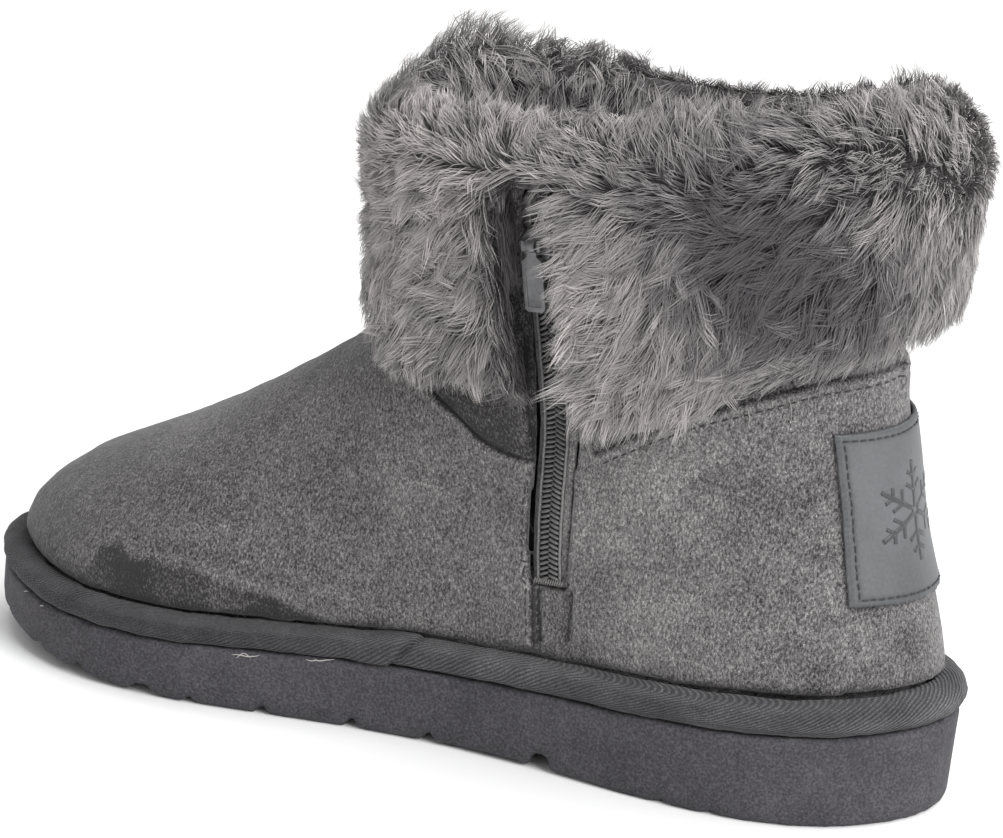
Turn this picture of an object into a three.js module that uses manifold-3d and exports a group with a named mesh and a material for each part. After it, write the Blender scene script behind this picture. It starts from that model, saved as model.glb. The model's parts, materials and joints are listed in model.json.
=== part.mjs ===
// Right snow boot: suede ankle boot with a folded fur cuff, a zip on the inner (medial) side,
// a rolled binding strip round the feather line and a thick lugged outsole.
// Millimetres. Toe towards -Y, heel +Y, medial side (zip) +X, up +Z, standing on z = 0.

import * as THREE from 'three';
import { mergeVertices } from 'three/addons/utils/BufferGeometryUtils.js';
import Module from 'manifold-3d';

// ---- driving dimensions -------------------------------------------------------------------
const LENGTH = 268;            // binding strip, heel to toe
const GAP = 0.3;               // clearance between neighbouring pieces
const WALL = 3;                // suede, padding and pile of the upper

const SOLE_HEEL = 24.7;        // outsole thickness at the heel, the waist and the toe
const SOLE_WAIST = 19.5;
const SOLE_TOE = 13.1;
const TOE_SPRING = 8.4;        // lift of the toe tip
const SPRING_START = 0.7;      // share of the length where the toe starts to lift
const ARCH_LIFT = 0.8;         // lift of the waist's edge
const ARCH_HOLLOW = 3.5;       // hollow scooped under the waist
const STRIP_HEEL = 8.3;        // binding strip height at the heel and the toe
const STRIP_TOE = 6.0;
const STRIP_DEPTH = 8;         // binding strip width, from outline inwards
const SOLE_TOP_INSET = 1.4;    // outline to outsole top edge
const SOLE_FOOT_INSET = 2.8;   // outline to outsole bottom edge
const FEATHER_INSET = 5.6;     // outline to the upper's bottom edge
const INSOLE_THICK = 5;

// Half widths of the binding strip either side of the heel-to-toe axis.
const OUTLINE = [
  // share of length from heel, medial, lateral
  { s: 0.03, medial: 20.4, lateral: 18.2 },
  { s: 0.08, medial: 32.1, lateral: 29.8 },
  { s: 0.15, medial: 38.6, lateral: 38.0 },
  { s: 0.25, medial: 39.4, lateral: 42.4 },
  { s: 0.35, medial: 36.6, lateral: 44.3 },
  { s: 0.45, medial: 34.6, lateral: 46.8 },
  { s: 0.55, medial: 35.9, lateral: 51.6 },
  { s: 0.65, medial: 40.2, lateral: 57.0 },
  { s: 0.72, medial: 43.2, lateral: 59.4 },
  { s: 0.80, medial: 43.6, lateral: 57.4 },
  { s: 0.88, medial: 38.6, lateral: 47.8 },
  { s: 0.94, medial: 28.4, lateral: 33.6 },
  { s: 0.98, medial: 16.4, lateral: 18.6 },
];

// The last, one row per level of the upper's outer skin from the feather line to the collar.
// Each level is a plane through its front and back points; blend 0 = foot, 1 = shaft.
const LEVELS = [
  { frontY: -124.4, frontZ: 27.8, backY: 128.4, backZ: 33.3, medial: 33, lateral: 34, blend: 0 },
  { frontY: -123.6, frontZ: 31.4, backY: 127.6, backZ: 37, medial: 33, lateral: 34, blend: 0 },
  { frontY: -120.5, frontZ: 37.2, backY: 126.6, backZ: 42, medial: 33, lateral: 34, blend: 0 },
  { frontY: -114.8, frontZ: 43.2, backY: 125.4, backZ: 47, medial: 33, lateral: 34, blend: 0.02 },
  { frontY: -106.4, frontZ: 49.0, backY: 124, backZ: 52, medial: 33, lateral: 34, blend: 0.05 },
  { frontY: -97.0, frontZ: 53.9, backY: 122.4, backZ: 57, medial: 33, lateral: 34, blend: 0.1 },
  { frontY: -86.8, frontZ: 58.8, backY: 120.8, backZ: 62, medial: 33.5, lateral: 34.5, blend: 0.17 },
  { frontY: -76.0, frontZ: 64.2, backY: 119.4, backZ: 67, medial: 34, lateral: 35, blend: 0.26 },
  { frontY: -65.0, frontZ: 70.4, backY: 118.2, backZ: 72, medial: 34.5, lateral: 35.5, blend: 0.37 },
  { frontY: -53.8, frontZ: 77.6, backY: 117.2, backZ: 77.5, medial: 35, lateral: 36, blend: 0.5 },
  { frontY: -43.0, frontZ: 84.6, backY: 116.2, backZ: 83, medial: 35.5, lateral: 36.5, blend: 0.64 },
  { frontY: -33.2, frontZ: 91.4, backY: 115, backZ: 88.5, medial: 36, lateral: 37, blend: 0.78 },
  { frontY: -25.5, frontZ: 98.0, backY: 113.6, backZ: 94.5, medial: 36, lateral: 37, blend: 0.9 },
  { frontY: -20.8, frontZ: 105, backY: 112, backZ: 101, medial: 36, lateral: 37, blend: 0.97 },
  { frontY: -18.6, frontZ: 113, backY: 110.8, backZ: 109, medial: 36, lateral: 37, blend: 1 },
  { frontY: -18.2, frontZ: 122, backY: 110.8, backZ: 119, medial: 36.5, lateral: 37.5, blend: 1 },
  { frontY: -18.6, frontZ: 132, backY: 112, backZ: 131, medial: 37, lateral: 38, blend: 1 },
  { frontY: -19.2, frontZ: 142, backY: 113.2, backZ: 145, medial: 37.5, lateral: 38.5, blend: 1 },
  { frontY: -19.8, frontZ: 151, backY: 114, backZ: 158, medial: 38, lateral: 39, blend: 1 },
];
const RIDGE_LEVELS = 13;       // levels whose front points lie on the foot's ridge

// Behind the ridge's last level the foot walls run up as if to these heights.
const WALL_HEIGHTS = [
  { y: 5, z: 130 },
  { y: 40, z: 165 },
  { y: 130, z: 185 },
];
const TOE_FULLNESS = 2.6;      // roundness of the section at the toe box and at the instep
const INSTEP_FULLNESS = 1.8;

// Fur cuff: height of its lower edge round the shaft, and its thickness outside the shaft.
const CUFF_EDGE = [
  // turn: 0 heel, 0.25 lateral, 0.5 front, 0.75 medial; lower edge, crest of the fold, thickness
  { turn: 0.0, edge: 118, crest: 177, thick: 14 },
  { turn: 0.12, edge: 111, crest: 169, thick: 13.5 },
  { turn: 0.24, edge: 102, crest: 161, thick: 13 },
  { turn: 0.35, edge: 98, crest: 165, thick: 13 },
  { turn: 0.43, edge: 100, crest: 170, thick: 12 },
  { turn: 0.5, edge: 105, crest: 164, thick: 10 },
  { turn: 0.57, edge: 103, crest: 163, thick: 11 },
  { turn: 0.64, edge: 94, crest: 165, thick: 12.5 },
  { turn: 0.7, edge: 98, crest: 168, thick: 12.5 },
  { turn: 0.75, edge: 91, crest: 171, thick: 12.5 },
  { turn: 0.8, edge: 95, crest: 174, thick: 13 },
  { turn: 0.87, edge: 108, crest: 176, thick: 13.5 },
  { turn: 0.94, edge: 116, crest: 177, thick: 14 },
];
const CUFF_INSIDE_EDGE = 128;  // lower edge of the pile inside the collar
const CUFF_INSIDE_THICK = 7;
const CUFF_PLAY = 0.45;         // clearance between the cuff and the shaft
const CUFF_NOTCH_FRONT = 4.6;  // opening over the zip, ahead of its line and behind it
const CUFF_NOTCH_BACK = 9;
const CUFF_NOTCH_TOP = 149;

// Zip line on the medial side, bottom to top.
const ZIP_LINE = [
  { z: 44, y: 37.2 },
  { z: 57, y: 36.2 },
  { z: 67, y: 36.1 },
  { z: 78, y: 36.6 },
  { z: 90, y: 37.6 },
  { z: 105, y: 36 },
  { z: 121, y: 33.8 },
  { z: 136, y: 32 },
  { z: 152, y: 30 },
];
const ZIP_BOTTOM = 47;
const ZIP_TOP = 147;
const ZIP_HALF = 5.2;          // half width of the tape
const COIL_HALF = 2.8;         // half width of the closed coil
const SLIDER_Z = 133.5;          // where the slider stands
const SLIDER_LENGTH = 9;
const SLIDER_WIDTH = 7.4;
const PULL_LENGTH = 16;
const PULL_WIDTH = 5.6;
const PULL_THICK = 1.3;

const HALF = 28;               // steps along each side of a ring
const RING = HALF * 2;

// ---- small helpers ------------------------------------------------------------------------
const wasm = await Module();
wasm.setup();

const clamp01 = (t) => Math.min(1, Math.max(0, t));

function smooth(t) {
  const c = clamp01(t);
  return c * c * (3 - 2 * c);
}

// Catmull-Rom reading of one column of a table.
function column(table, key, name, at) {
  const last = table.length - 1;
  let i = 0;
  while (i < last - 1 && at > table[i + 1][key]) i += 1;
  const a = table[i];
  const b = table[i + 1];
  const before = table[Math.max(0, i - 1)];
  const after = table[Math.min(last, i + 2)];
  const span = b[key] - a[key];
  const t = clamp01((at - a[key]) / span);
  const slopeA = i > 0 ? (b[name] - before[name]) / (b[key] - before[key]) : (b[name] - a[name]) / span;
  const slopeB = i + 1 < last ? (after[name] - a[name]) / (after[key] - a[key]) : (b[name] - a[name]) / span;
  const t2 = t * t;
  const t3 = t2 * t;
  const start = (2 * t3 - 3 * t2 + 1) * a[name] + (t3 - 2 * t2 + t) * slopeA * span;
  return start + (3 * t2 - 2 * t3) * b[name] + (t3 - t2) * slopeB * span;
}

const LEVEL_ROWS = LEVELS.map((row, index) => ({ ...row, level: index }));
const TOP_LEVEL = LEVELS.length - 1;
const ROUND_ENDS = OUTLINE.map((row) => {
  const cap = Math.sqrt(row.s * (1 - row.s));
  return { s: row.s, medial: row.medial / cap, lateral: row.lateral / cap };
});

// Half width of the outline at a share s of the length; round at both tips.
function halfWidth(s, side) {
  const c = clamp01(s);
  const inside = Math.min(0.98, Math.max(0.03, c));
  return Math.sqrt(c * (1 - c)) * column(ROUND_ENDS, 's', side, inside);
}

const shareAt = (y) => clamp01(0.5 - y / LENGTH);

function groundZ(y) {
  const s = shareAt(y);
  const lift = clamp01((s - SPRING_START) / (1 - SPRING_START));
  return TOE_SPRING * lift * lift;
}

function soleTopZ(y) {
  const s = shareAt(y);
  const back = SOLE_HEEL + (SOLE_WAIST - SOLE_HEEL) * clamp01(s / 0.5);
  return groundZ(y) + back + (SOLE_TOE - SOLE_WAIST) * clamp01((s - 0.5) / 0.5);
}

function featherZ(y) {
  return soleTopZ(y) + STRIP_HEEL + (STRIP_TOE - STRIP_HEEL) * shareAt(y);
}

// The toe spring tips the sole's wall back: shift towards the heel per mm of height.
function leanAt(y) {
  const lift = clamp01((shareAt(y) - SPRING_START) / (1 - SPRING_START));
  return (2 * TOE_SPRING * lift) / ((1 - SPRING_START) * LENGTH);
}

// Ring of the outline moved inwards by inset, counter-clockwise from the heel tip.
function outlineRing(inset, heightAt) {
  const flat = [];
  for (let k = 0; k < RING; k += 1) {
    const turn = (2 * Math.PI * k) / RING;
    const s = (1 - Math.cos(turn)) / 2;
    const side = k <= HALF ? 'lateral' : 'medial';
    const x = halfWidth(s, side) * (k <= HALF ? -1 : 1);
    flat.push(new THREE.Vector2(k % HALF === 0 ? 0 : x, LENGTH / 2 - s * LENGTH));
  }
  return flat.map((point, k) => {
    const next = flat[(k + 1) % RING];
    const prev = flat[(k + RING - 1) % RING];
    const along = next.clone().sub(prev).normalize();
    const x = point.x - along.y * inset;
    const y = point.y + along.x * inset;
    const leaned = y + leanAt(y) * (heightAt(y) - groundZ(y));
    return new THREE.Vector3(x, leaned, heightAt(leaned));
  });
}

// Closed solid through a list of rings; closed = true joins the last ring to the first.
function ringSolid(rings, closed) {
  const count = rings[0].length;
  const positions = [];
  const index = [];
  rings.forEach((ring) => ring.forEach((p) => positions.push(p.x, p.y, p.z)));
  const bands = closed ? rings.length : rings.length - 1;
  for (let r = 0; r < bands; r += 1) {
    const low = r * count;
    const high = ((r + 1) % rings.length) * count;
    for (let k = 0; k < count; k += 1) {
      const n = (k + 1) % count;
      index.push(low + k, low + n, high + n, low + k, high + n, high + k);
    }
  }
  if (!closed) {
    const top = (rings.length - 1) * count;
    const half = count / 2;
    for (let k = 0; k < half; k += 1) {
      const a = k;
      const b = k + 1;
      const c = (count - k) % count;
      const d = count - k - 1;
      if (a !== c) {
        index.push(a, c, b, top + a, top + b, top + c);
      }
      if (b !== d) {
        index.push(c, d, b, top + c, top + b, top + d);
      }
    }
  }
  const geometry = new THREE.BufferGeometry();
  geometry.setAttribute('position', new THREE.Float32BufferAttribute(positions, 3));
  geometry.setIndex(index);
  return geometry;
}

function toManifold(geometry) {
  const bare = geometry.clone();
  bare.deleteAttribute('normal');
  bare.deleteAttribute('uv');
  const merged = mergeVertices(bare, 1e-4);
  const vertProperties = new Float32Array(merged.attributes.position.array);
  const triVerts = new Uint32Array(merged.index.array);
  return new wasm.Manifold(new wasm.Mesh({ numProp: 3, vertProperties, triVerts }));
}

function toGeometry(solid) {
  const mesh = solid.getMesh();
  const geometry = new THREE.BufferGeometry();
  const positions = [];
  for (let i = 0; i < mesh.numVert; i += 1) {
    const at = i * mesh.numProp;
    positions.push(mesh.vertProperties[at], mesh.vertProperties[at + 1], mesh.vertProperties[at + 2]);
  }
  geometry.setAttribute('position', new THREE.Float32BufferAttribute(positions, 3));
  geometry.setIndex(Array.from(mesh.triVerts));
  return geometry;
}

function cut(body, ...tools) {
  let solid = toManifold(body);
  tools.forEach((tool) => {
    solid = solid.subtract(toManifold(tool));
  });
  return toGeometry(solid);
}

function join(...pieces) {
  let solid = toManifold(pieces[0]);
  pieces.slice(1).forEach((piece) => {
    solid = solid.add(toManifold(piece));
  });
  return toGeometry(solid);
}

// ---- the last: a smooth skin over (level, turn) -------------------------------------------
// turn 0 = heel, 0.25 lateral, 0.5 front, 0.75 medial.
function skin(level, turn) {
  const at = Math.min(TOP_LEVEL, Math.max(0, level));
  const read = (name) => column(LEVEL_ROWS, 'level', name, at);
  const frontY = read('frontY');
  const backY = read('backY');
  const frontZ = read('frontZ');
  const backZ = read('backZ');
  const wrapped = ((turn % 1) + 1) % 1;
  const side = wrapped <= 0.5 ? 'lateral' : 'medial';
  const sign = wrapped <= 0.5 ? -1 : 1;
  const s = (1 - Math.cos(2 * Math.PI * wrapped)) / 2;
  const y = backY + (frontY - backY) * s;
  const bow = Math.abs(Math.sin(2 * Math.PI * wrapped));
  const base = LEVELS[0].backZ + (LEVELS[0].frontZ - LEVELS[0].backZ) * s;
  const settle = 1 - clamp01(at / 4);
  const z = backZ + (frontZ - backZ) * s + (featherZ(y) + GAP - base) * settle;
  const heelPull = (LEVELS[0].backY - backY) * smooth((y - 20) / 90);
  const foot = footHalf(y + heelPull, z, side);
  const shaft = read(side) * Math.pow(bow, 0.92);
  const x = foot + (shaft - foot) * clamp01(read('blend'));
  const onAxis = wrapped === 0 || wrapped === 0.5;
  return new THREE.Vector3(onAxis ? 0 : sign * x, y, z);
}

const RIDGE = [
  ...LEVELS.slice(0, RIDGE_LEVELS).map((row) => ({ y: row.frontY, z: row.frontZ })),
  ...WALL_HEIGHTS,
];

// Half width of the foot at a height: feather width, a slight bulge, then the arch to the ridge.
function footHalf(y, z, side) {
  const feather = featherZ(y) + GAP;
  const plan = y - leanAt(y) * (feather - groundZ(y));
  const whole = clamp01(0.5 - plan / LENGTH);
  const share = clamp01(0.5 - plan / (LENGTH - 2 * FEATHER_INSET));
  const cap = Math.sqrt(share * (1 - share));
  const wholeCap = Math.sqrt(Math.max(1e-9, whole * (1 - whole)));
  const trim = FEATHER_INSET * smooth(cap / 0.3);
  const width = Math.max(0, halfWidth(whole, side) * Math.min(1, cap / wholeCap) - trim);
  const along = Math.min(130, Math.max(RIDGE[0].y, y));
  const ridge = column(RIDGE, 'y', 'z', along);
  const full = TOE_FULLNESS + (INSTEP_FULLNESS - TOE_FULLNESS) * smooth((y + 116) / 96);
  const rise = clamp01((z - feather) / Math.max(0.5, ridge - feather));
  const arch = Math.sqrt(Math.max(0, 1 - Math.pow(rise, full)));
  const bulge = 1 + 0.06 * Math.sin(Math.PI * clamp01(rise * 2.2));
  return width * arch * bulge;
}

function skinNormal(level, turn) {
  const dl = 0.05;
  const dt = 0.002;
  const up = skin(Math.min(TOP_LEVEL, level + dl), turn).sub(skin(Math.max(0, level - dl), turn));
  const round = skin(level, turn + dt).sub(skin(level, turn - dt));
  return round.cross(up).normalize();
}

// Point off the skin: out along the normal, lift straight up.
function offSkin(level, turn, out, lift = 0) {
  const normal = skinNormal(level, turn);
  const point = skin(level, turn).addScaledVector(normal, out);
  point.z += lift;
  return point;
}

// Level on the skin at a height, for one turn.
function levelAt(z, turn) {
  let low = 0;
  let high = TOP_LEVEL;
  for (let i = 0; i < 30; i += 1) {
    const mid = (low + high) / 2;
    if (skin(mid, turn).z < z) low = mid;
    else high = mid;
  }
  return (low + high) / 2;
}

// Turn on the medial skin at a level where y has the given value.
function turnAt(level, y) {
  let low = 0.5;
  let high = 1;
  for (let i = 0; i < 30; i += 1) {
    const mid = (low + high) / 2;
    if (skin(level, mid).y < y) low = mid;
    else high = mid;
  }
  return (low + high) / 2;
}

// Level and turn of a point on the medial skin given its height and y.
function medialSpot(z, y) {
  let turn = 0.75;
  let level = levelAt(z, turn);
  for (let i = 0; i < 6; i += 1) {
    turn = turnAt(level, y);
    level = levelAt(z, turn);
  }
  return { level, turn };
}

// ---- outsole ------------------------------------------------------------------------------
function waistZ(y) {
  const s = shareAt(y);
  return ARCH_LIFT * smooth((s - 0.3) / 0.06) * smooth((0.52 - s) / 0.1);
}

const treadZ = (y) => groundZ(y) + waistZ(y);
let outsole = ringSolid([
  outlineRing(SOLE_FOOT_INSET + 1.2, treadZ),
  outlineRing(SOLE_FOOT_INSET, (y) => treadZ(y) + 1.6),
  outlineRing(SOLE_TOP_INSET, soleTopZ),
], false);

// Grooves between the lugs: chevrons across the tread.
const GROOVES = [
  { y: -113, width: 3, depth: 2.4 },
  { y: -99, width: 3, depth: 3 },
  { y: -85, width: 3, depth: 3 },
  { y: -66, width: 6, depth: 2.6 },
  { y: -52, width: 3, depth: 3 },
  { y: -33, width: 3, depth: 3 },
  { y: -9, width: 3, depth: 3 },
  { y: 12, width: 3, depth: 2.6 },
  { y: 43, width: 5, depth: 4.2 },
  { y: 76, width: 3, depth: 3 },
  { y: 89, width: 3, depth: 3 },
];
const CHEVRON = 9;

function groove({ y, width, depth }) {
  const reach = 75;
  const z = groundZ(y) + waistZ(y);
  const shape = new THREE.Shape();
  shape.moveTo(-reach, -width / 2);
  shape.lineTo(0, -width / 2 - CHEVRON);
  shape.lineTo(reach, -width / 2);
  shape.lineTo(reach, width / 2);
  shape.lineTo(0, width / 2 - CHEVRON);
  shape.lineTo(-reach, width / 2);
  const block = new THREE.ExtrudeGeometry(shape, { depth: depth + 20, bevelEnabled: false });
  block.translate(0, y, z - 20);
  return block;
}

const hollow = new THREE.SphereGeometry(1, 18, 10);
hollow.scale(24, 30, ARCH_HOLLOW);
hollow.translate(-4, 14, ARCH_LIFT);
outsole = cut(outsole, hollow, ...GROOVES.map(groove));

// ---- binding strip ------------------------------------------------------------------------
const strip = ringSolid([
  outlineRing(1.6, (y) => soleTopZ(y) + GAP),
  outlineRing(0.25, (y) => soleTopZ(y) + GAP + 0.22 * (featherZ(y) - soleTopZ(y))),
  outlineRing(0, (y) => soleTopZ(y) + GAP + 0.5 * (featherZ(y) - soleTopZ(y))),
  outlineRing(0.9, (y) => soleTopZ(y) + 0.8 * (featherZ(y) - soleTopZ(y))),
  outlineRing(3.2, (y) => featherZ(y) - 0.3),
  outlineRing(5.2, featherZ),
  outlineRing(STRIP_DEPTH, featherZ),
  outlineRing(STRIP_DEPTH, (y) => soleTopZ(y) + GAP),
], true);

// ---- insole -------------------------------------------------------------------------------
const insole = ringSolid([
  outlineRing(STRIP_DEPTH + GAP + 0.2, (y) => soleTopZ(y) + GAP),
  outlineRing(STRIP_DEPTH + GAP + 0.2, (y) => soleTopZ(y) + GAP + INSOLE_THICK - 1),
  outlineRing(STRIP_DEPTH + GAP + 1.4, (y) => soleTopZ(y) + GAP + INSOLE_THICK),
], false);

// ---- upper --------------------------------------------------------------------------------
function skinRing(level, out) {
  const ring = [];
  for (let k = 0; k < RING; k += 1) {
    ring.push(offSkin(level, k / RING, out));
  }
  return ring;
}

// The feather edge and the collar edge are offset level, so both rims stay flat.
function rimRing(level, out) {
  const ring = [];
  for (let k = 0; k < RING; k += 1) {
    const turn = k / RING;
    const normal = skinNormal(level, turn);
    normal.z = 0;
    normal.normalize();
    const point = skin(level, turn).addScaledVector(normal, out);
    if (level === 0) point.z = featherZ(point.y) + GAP;
    ring.push(point);
  }
  return ring;
}

const levels = LEVELS.map((row, index) => index);
const outerRings = levels.map((level) => (level === 0 ? rimRing(0, 0) : skinRing(level, 0)));
const innerRings = levels.map((level) => {
  const edge = level === 0 || level === TOP_LEVEL;
  return edge ? rimRing(level, -WALL) : skinRing(level, -WALL);
});
let upper = ringSolid([...outerRings, ...innerRings.reverse()], true);

// ---- zip ----------------------------------------------------------------------------------
// Band along the zip line, reaching ahead of it and behind it, from outLow to outHigh off the skin.
function zipBand(zLow, zHigh, ahead, behind, outLow, outHigh, steps) {
  const sections = [];
  for (let i = 0; i <= steps; i += 1) {
    const z = zLow + ((zHigh - zLow) * i) / steps;
    const spot = medialSpot(z, column(ZIP_LINE, 'z', 'y', z));
    const here = skin(spot.level, spot.turn);
    const step = 0.001;
    const pace = skin(spot.level, spot.turn + step).distanceTo(here) / step;
    const first = spot.turn - ahead / pace;
    const final = spot.turn + behind / pace;
    const turns = [first, (first + final) / 2, final];
    const outer = turns.map((turn) => offSkin(spot.level, turn, outHigh));
    const inner = turns.map((turn) => offSkin(spot.level, turn, outLow));
    sections.push([...outer, ...inner.reverse()]);
  }
  return sweepSolid(sections);
}

// Closed solid through equal sections, first and last capped by a fan of quads.
function sweepSolid(sections) {
  const count = sections[0].length;
  const positions = [];
  const index = [];
  sections.forEach((row) => row.forEach((p) => positions.push(p.x, p.y, p.z)));
  for (let r = 0; r + 1 < sections.length; r += 1) {
    for (let k = 0; k < count; k += 1) {
      const n = (k + 1) % count;
      const low = r * count;
      const high = low + count;
      index.push(low + k, low + n, high + n, low + k, high + n, high + k);
    }
  }
  const last = (sections.length - 1) * count;
  for (let k = 0; k + 1 < count / 2; k += 1) {
    const a = k;
    const b = k + 1;
    const c = count - 2 - k;
    const d = count - 1 - k;
    index.push(a, c, b, a, d, c, last + a, last + b, last + c, last + a, last + c, last + d);
  }
  const geometry = new THREE.BufferGeometry();
  geometry.setAttribute('position', new THREE.Float32BufferAttribute(positions, 3));
  geometry.setIndex(index);
  const solid = toManifold(geometry);
  if (solid.volume() < 0) {
    const flipped = [];
    for (let i = 0; i < index.length; i += 3) flipped.push(index[i], index[i + 2], index[i + 1]);
    geometry.setIndex(flipped);
  }
  return geometry;
}

const SLIT_HALF = ZIP_HALF + GAP;
const slit = zipBand(ZIP_BOTTOM, ZIP_TOP, SLIT_HALF, SLIT_HALF, -WALL - 6, 6, 18);
upper = cut(upper, slit);
const tape = zipBand(ZIP_BOTTOM + 0.4, ZIP_TOP - 0.4, ZIP_HALF, ZIP_HALF, -2.2, -1.2, 16);
const coil = zipBand(ZIP_BOTTOM + 2, ZIP_TOP - 2, COIL_HALF, COIL_HALF, -1.8, 0.4, 16);
const zip = join(tape, coil);

// Local frame on the zip line: out of the skin, up the line, and across it.
function zipFrame(z, out) {
  const spot = medialSpot(z, column(ZIP_LINE, 'z', 'y', z));
  const origin = offSkin(spot.level, spot.turn, out);
  const ahead = medialSpot(z + 3, column(ZIP_LINE, 'z', 'y', z + 3));
  const outward = skinNormal(spot.level, spot.turn);
  const up = offSkin(ahead.level, ahead.turn, out).sub(origin).normalize();
  const across = up.clone().cross(outward).normalize();
  const outTrue = across.clone().cross(up).normalize();
  return new THREE.Matrix4().makeBasis(across, up, outTrue).setPosition(origin);
}

// Slider: shield-shaped body riding over the coil, with a bridge for the pull.
const sliderFrame = zipFrame(SLIDER_Z, 0.4 + GAP);
const BRIDGE_RADIUS = 0.7;
const BRIDGE_HEIGHT = 3.4;     // axis of the pull above the slider's underside
const SLIDER_THICK = 1.6;

function sliderBody() {
  const w = SLIDER_WIDTH / 2;
  const l = SLIDER_LENGTH / 2;
  const shape = new THREE.Shape();
  shape.moveTo(-w * 0.62, -l);
  shape.lineTo(w * 0.62, -l);
  shape.lineTo(w, -l * 0.1);
  shape.lineTo(w, l * 0.7);
  shape.lineTo(w * 0.55, l);
  shape.lineTo(-w * 0.55, l);
  shape.lineTo(-w, l * 0.7);
  shape.lineTo(-w, -l * 0.1);
  const plate = new THREE.ExtrudeGeometry(shape, { depth: SLIDER_THICK, bevelEnabled: false });
  const leftPost = new THREE.BoxGeometry(1, 2.6, BRIDGE_HEIGHT + 0.9 - SLIDER_THICK + 0.4);
  leftPost.translate(-2.1, 1.6, (BRIDGE_HEIGHT + 0.9 + SLIDER_THICK - 0.4) / 2);
  const rightPost = leftPost.clone().translate(4.2, 0, 0);
  const bar = new THREE.CylinderGeometry(BRIDGE_RADIUS, BRIDGE_RADIUS, 5, 12);
  bar.rotateZ(Math.PI / 2);
  bar.translate(0, 1.6, BRIDGE_HEIGHT);
  return join(plate, leftPost, rightPost, bar);
}

// Pull: flat tab hanging from the bridge bar, with a pressed window near its free end.
function pullTab() {
  const w = PULL_WIDTH / 2;
  const neck = 1.35;
  const hole = BRIDGE_RADIUS + 0.25;
  const shape = new THREE.Shape();
  shape.moveTo(-neck, 1.7);
  shape.lineTo(-neck, -2.6);
  shape.lineTo(-w, -3.8);
  shape.lineTo(-w, -PULL_LENGTH + 0.8);
  shape.lineTo(-w + 0.8, -PULL_LENGTH);
  shape.lineTo(w - 0.8, -PULL_LENGTH);
  shape.lineTo(w, -PULL_LENGTH + 0.8);
  shape.lineTo(w, -3.8);
  shape.lineTo(neck, -2.6);
  shape.lineTo(neck, 1.7);
  const slab = new THREE.ExtrudeGeometry(shape, { depth: PULL_THICK, bevelEnabled: false });
  slab.translate(0, 0, -PULL_THICK / 2);
  const eye = new THREE.CylinderGeometry(1.7, 1.7, neck * 2, 16);
  eye.rotateZ(Math.PI / 2);
  const bore = new THREE.CylinderGeometry(hole, hole, 8, 16);
  bore.rotateZ(Math.PI / 2);
  const recess = new THREE.BoxGeometry(PULL_WIDTH - 2, PULL_LENGTH - 8.4, 0.4);
  recess.translate(0, -PULL_LENGTH + 1.2 + (PULL_LENGTH - 8.4) / 2, PULL_THICK / 2);
  return cut(join(slab, eye), bore, recess);
}

const slider = sliderBody();
slider.applyMatrix4(sliderFrame);
const pull = pullTab();
pull.translate(0, 1.6, BRIDGE_HEIGHT);
pull.applyMatrix4(sliderFrame);

// ---- fur cuff -----------------------------------------------------------------------------
const CUFF_ROWS = [...CUFF_EDGE, { ...CUFF_EDGE[0], turn: 1 }];

function cuffRing(place) {
  const ring = [];
  for (let k = 0; k < RING; k += 1) {
    const turn = k / RING;
    const read = (name) => column(CUFF_ROWS, 'turn', name, turn);
    const rim = skin(TOP_LEVEL, turn).z;
    const row = { turn, rim, edge: read('edge'), crest: read('crest'), thick: read('thick') };
    ring.push(place(row));
  }
  return ring;
}

// Point at a height, out = mm off the shaft; above the collar the shaft runs straight on.
function cuffPoint(turn, z, out) {
  const level = levelAt(z, turn);
  const normal = skinNormal(level, turn);
  normal.z *= 0.35;
  normal.normalize();
  const point = skin(level, turn).addScaledVector(normal, out);
  point.z = z;
  return point;
}

const OUTER_SHARES = [0.04, 0.16, 0.36, 0.6, 0.82, 1];
const FOLD = [
  // share of the height from the collar to the crest, share of the thickness
  { up: 0.42, out: 0.82 },
  { up: 0.8, out: 0.48 },
  { up: 1, out: 0.05 },
];
const INNER = -WALL - CUFF_INSIDE_THICK;
const cuffRings = [
  cuffRing(({ turn, edge }) => cuffPoint(turn, edge + 1.5, CUFF_PLAY)),
  cuffRing(({ turn, edge, thick }) => cuffPoint(turn, edge, thick * 0.5)),
  ...OUTER_SHARES.map((share) => cuffRing(({ turn, edge, thick, rim }) => {
    const z = edge + 1 + (rim - edge - 1) * share;
    return cuffPoint(turn, z, thick * (0.86 + 0.14 * smooth(share * 3)));
  })),
  ...FOLD.map((row) => cuffRing(({ turn, thick, rim, crest }) => {
    return cuffPoint(turn, rim + (crest - rim) * row.up, thick * row.out);
  })),
  cuffRing(({ turn, rim, crest }) => cuffPoint(turn, rim + (crest - rim) * 0.8, INNER * 0.62)),
  cuffRing(({ turn, rim, crest }) => cuffPoint(turn, rim + (crest - rim) * 0.3, INNER * 0.94)),
  cuffRing(({ turn }) => cuffPoint(turn, CUFF_INSIDE_EDGE + 8, INNER)),
  cuffRing(({ turn }) => cuffPoint(turn, CUFF_INSIDE_EDGE, INNER + CUFF_INSIDE_THICK * 0.5)),
  cuffRing(({ turn }) => cuffPoint(turn, CUFF_INSIDE_EDGE + 1.5, -WALL - CUFF_PLAY)),
  cuffRing(({ turn }) => cuffPoint(turn, 141, -WALL - CUFF_PLAY)),
  cuffRing(({ turn, rim }) => cuffPoint(turn, rim + GAP, -WALL - CUFF_PLAY)),
  cuffRing(({ turn, rim }) => cuffPoint(turn, rim + GAP, CUFF_PLAY)),
  ...[0.8, 0.6, 0.4, 0.2].map((share) => cuffRing(({ turn, edge, rim }) => {
    return cuffPoint(turn, edge + 1.5 + (rim - edge - 1.5) * share, CUFF_PLAY);
  })),
];
let cuff = ringSolid(cuffRings, true);
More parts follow.
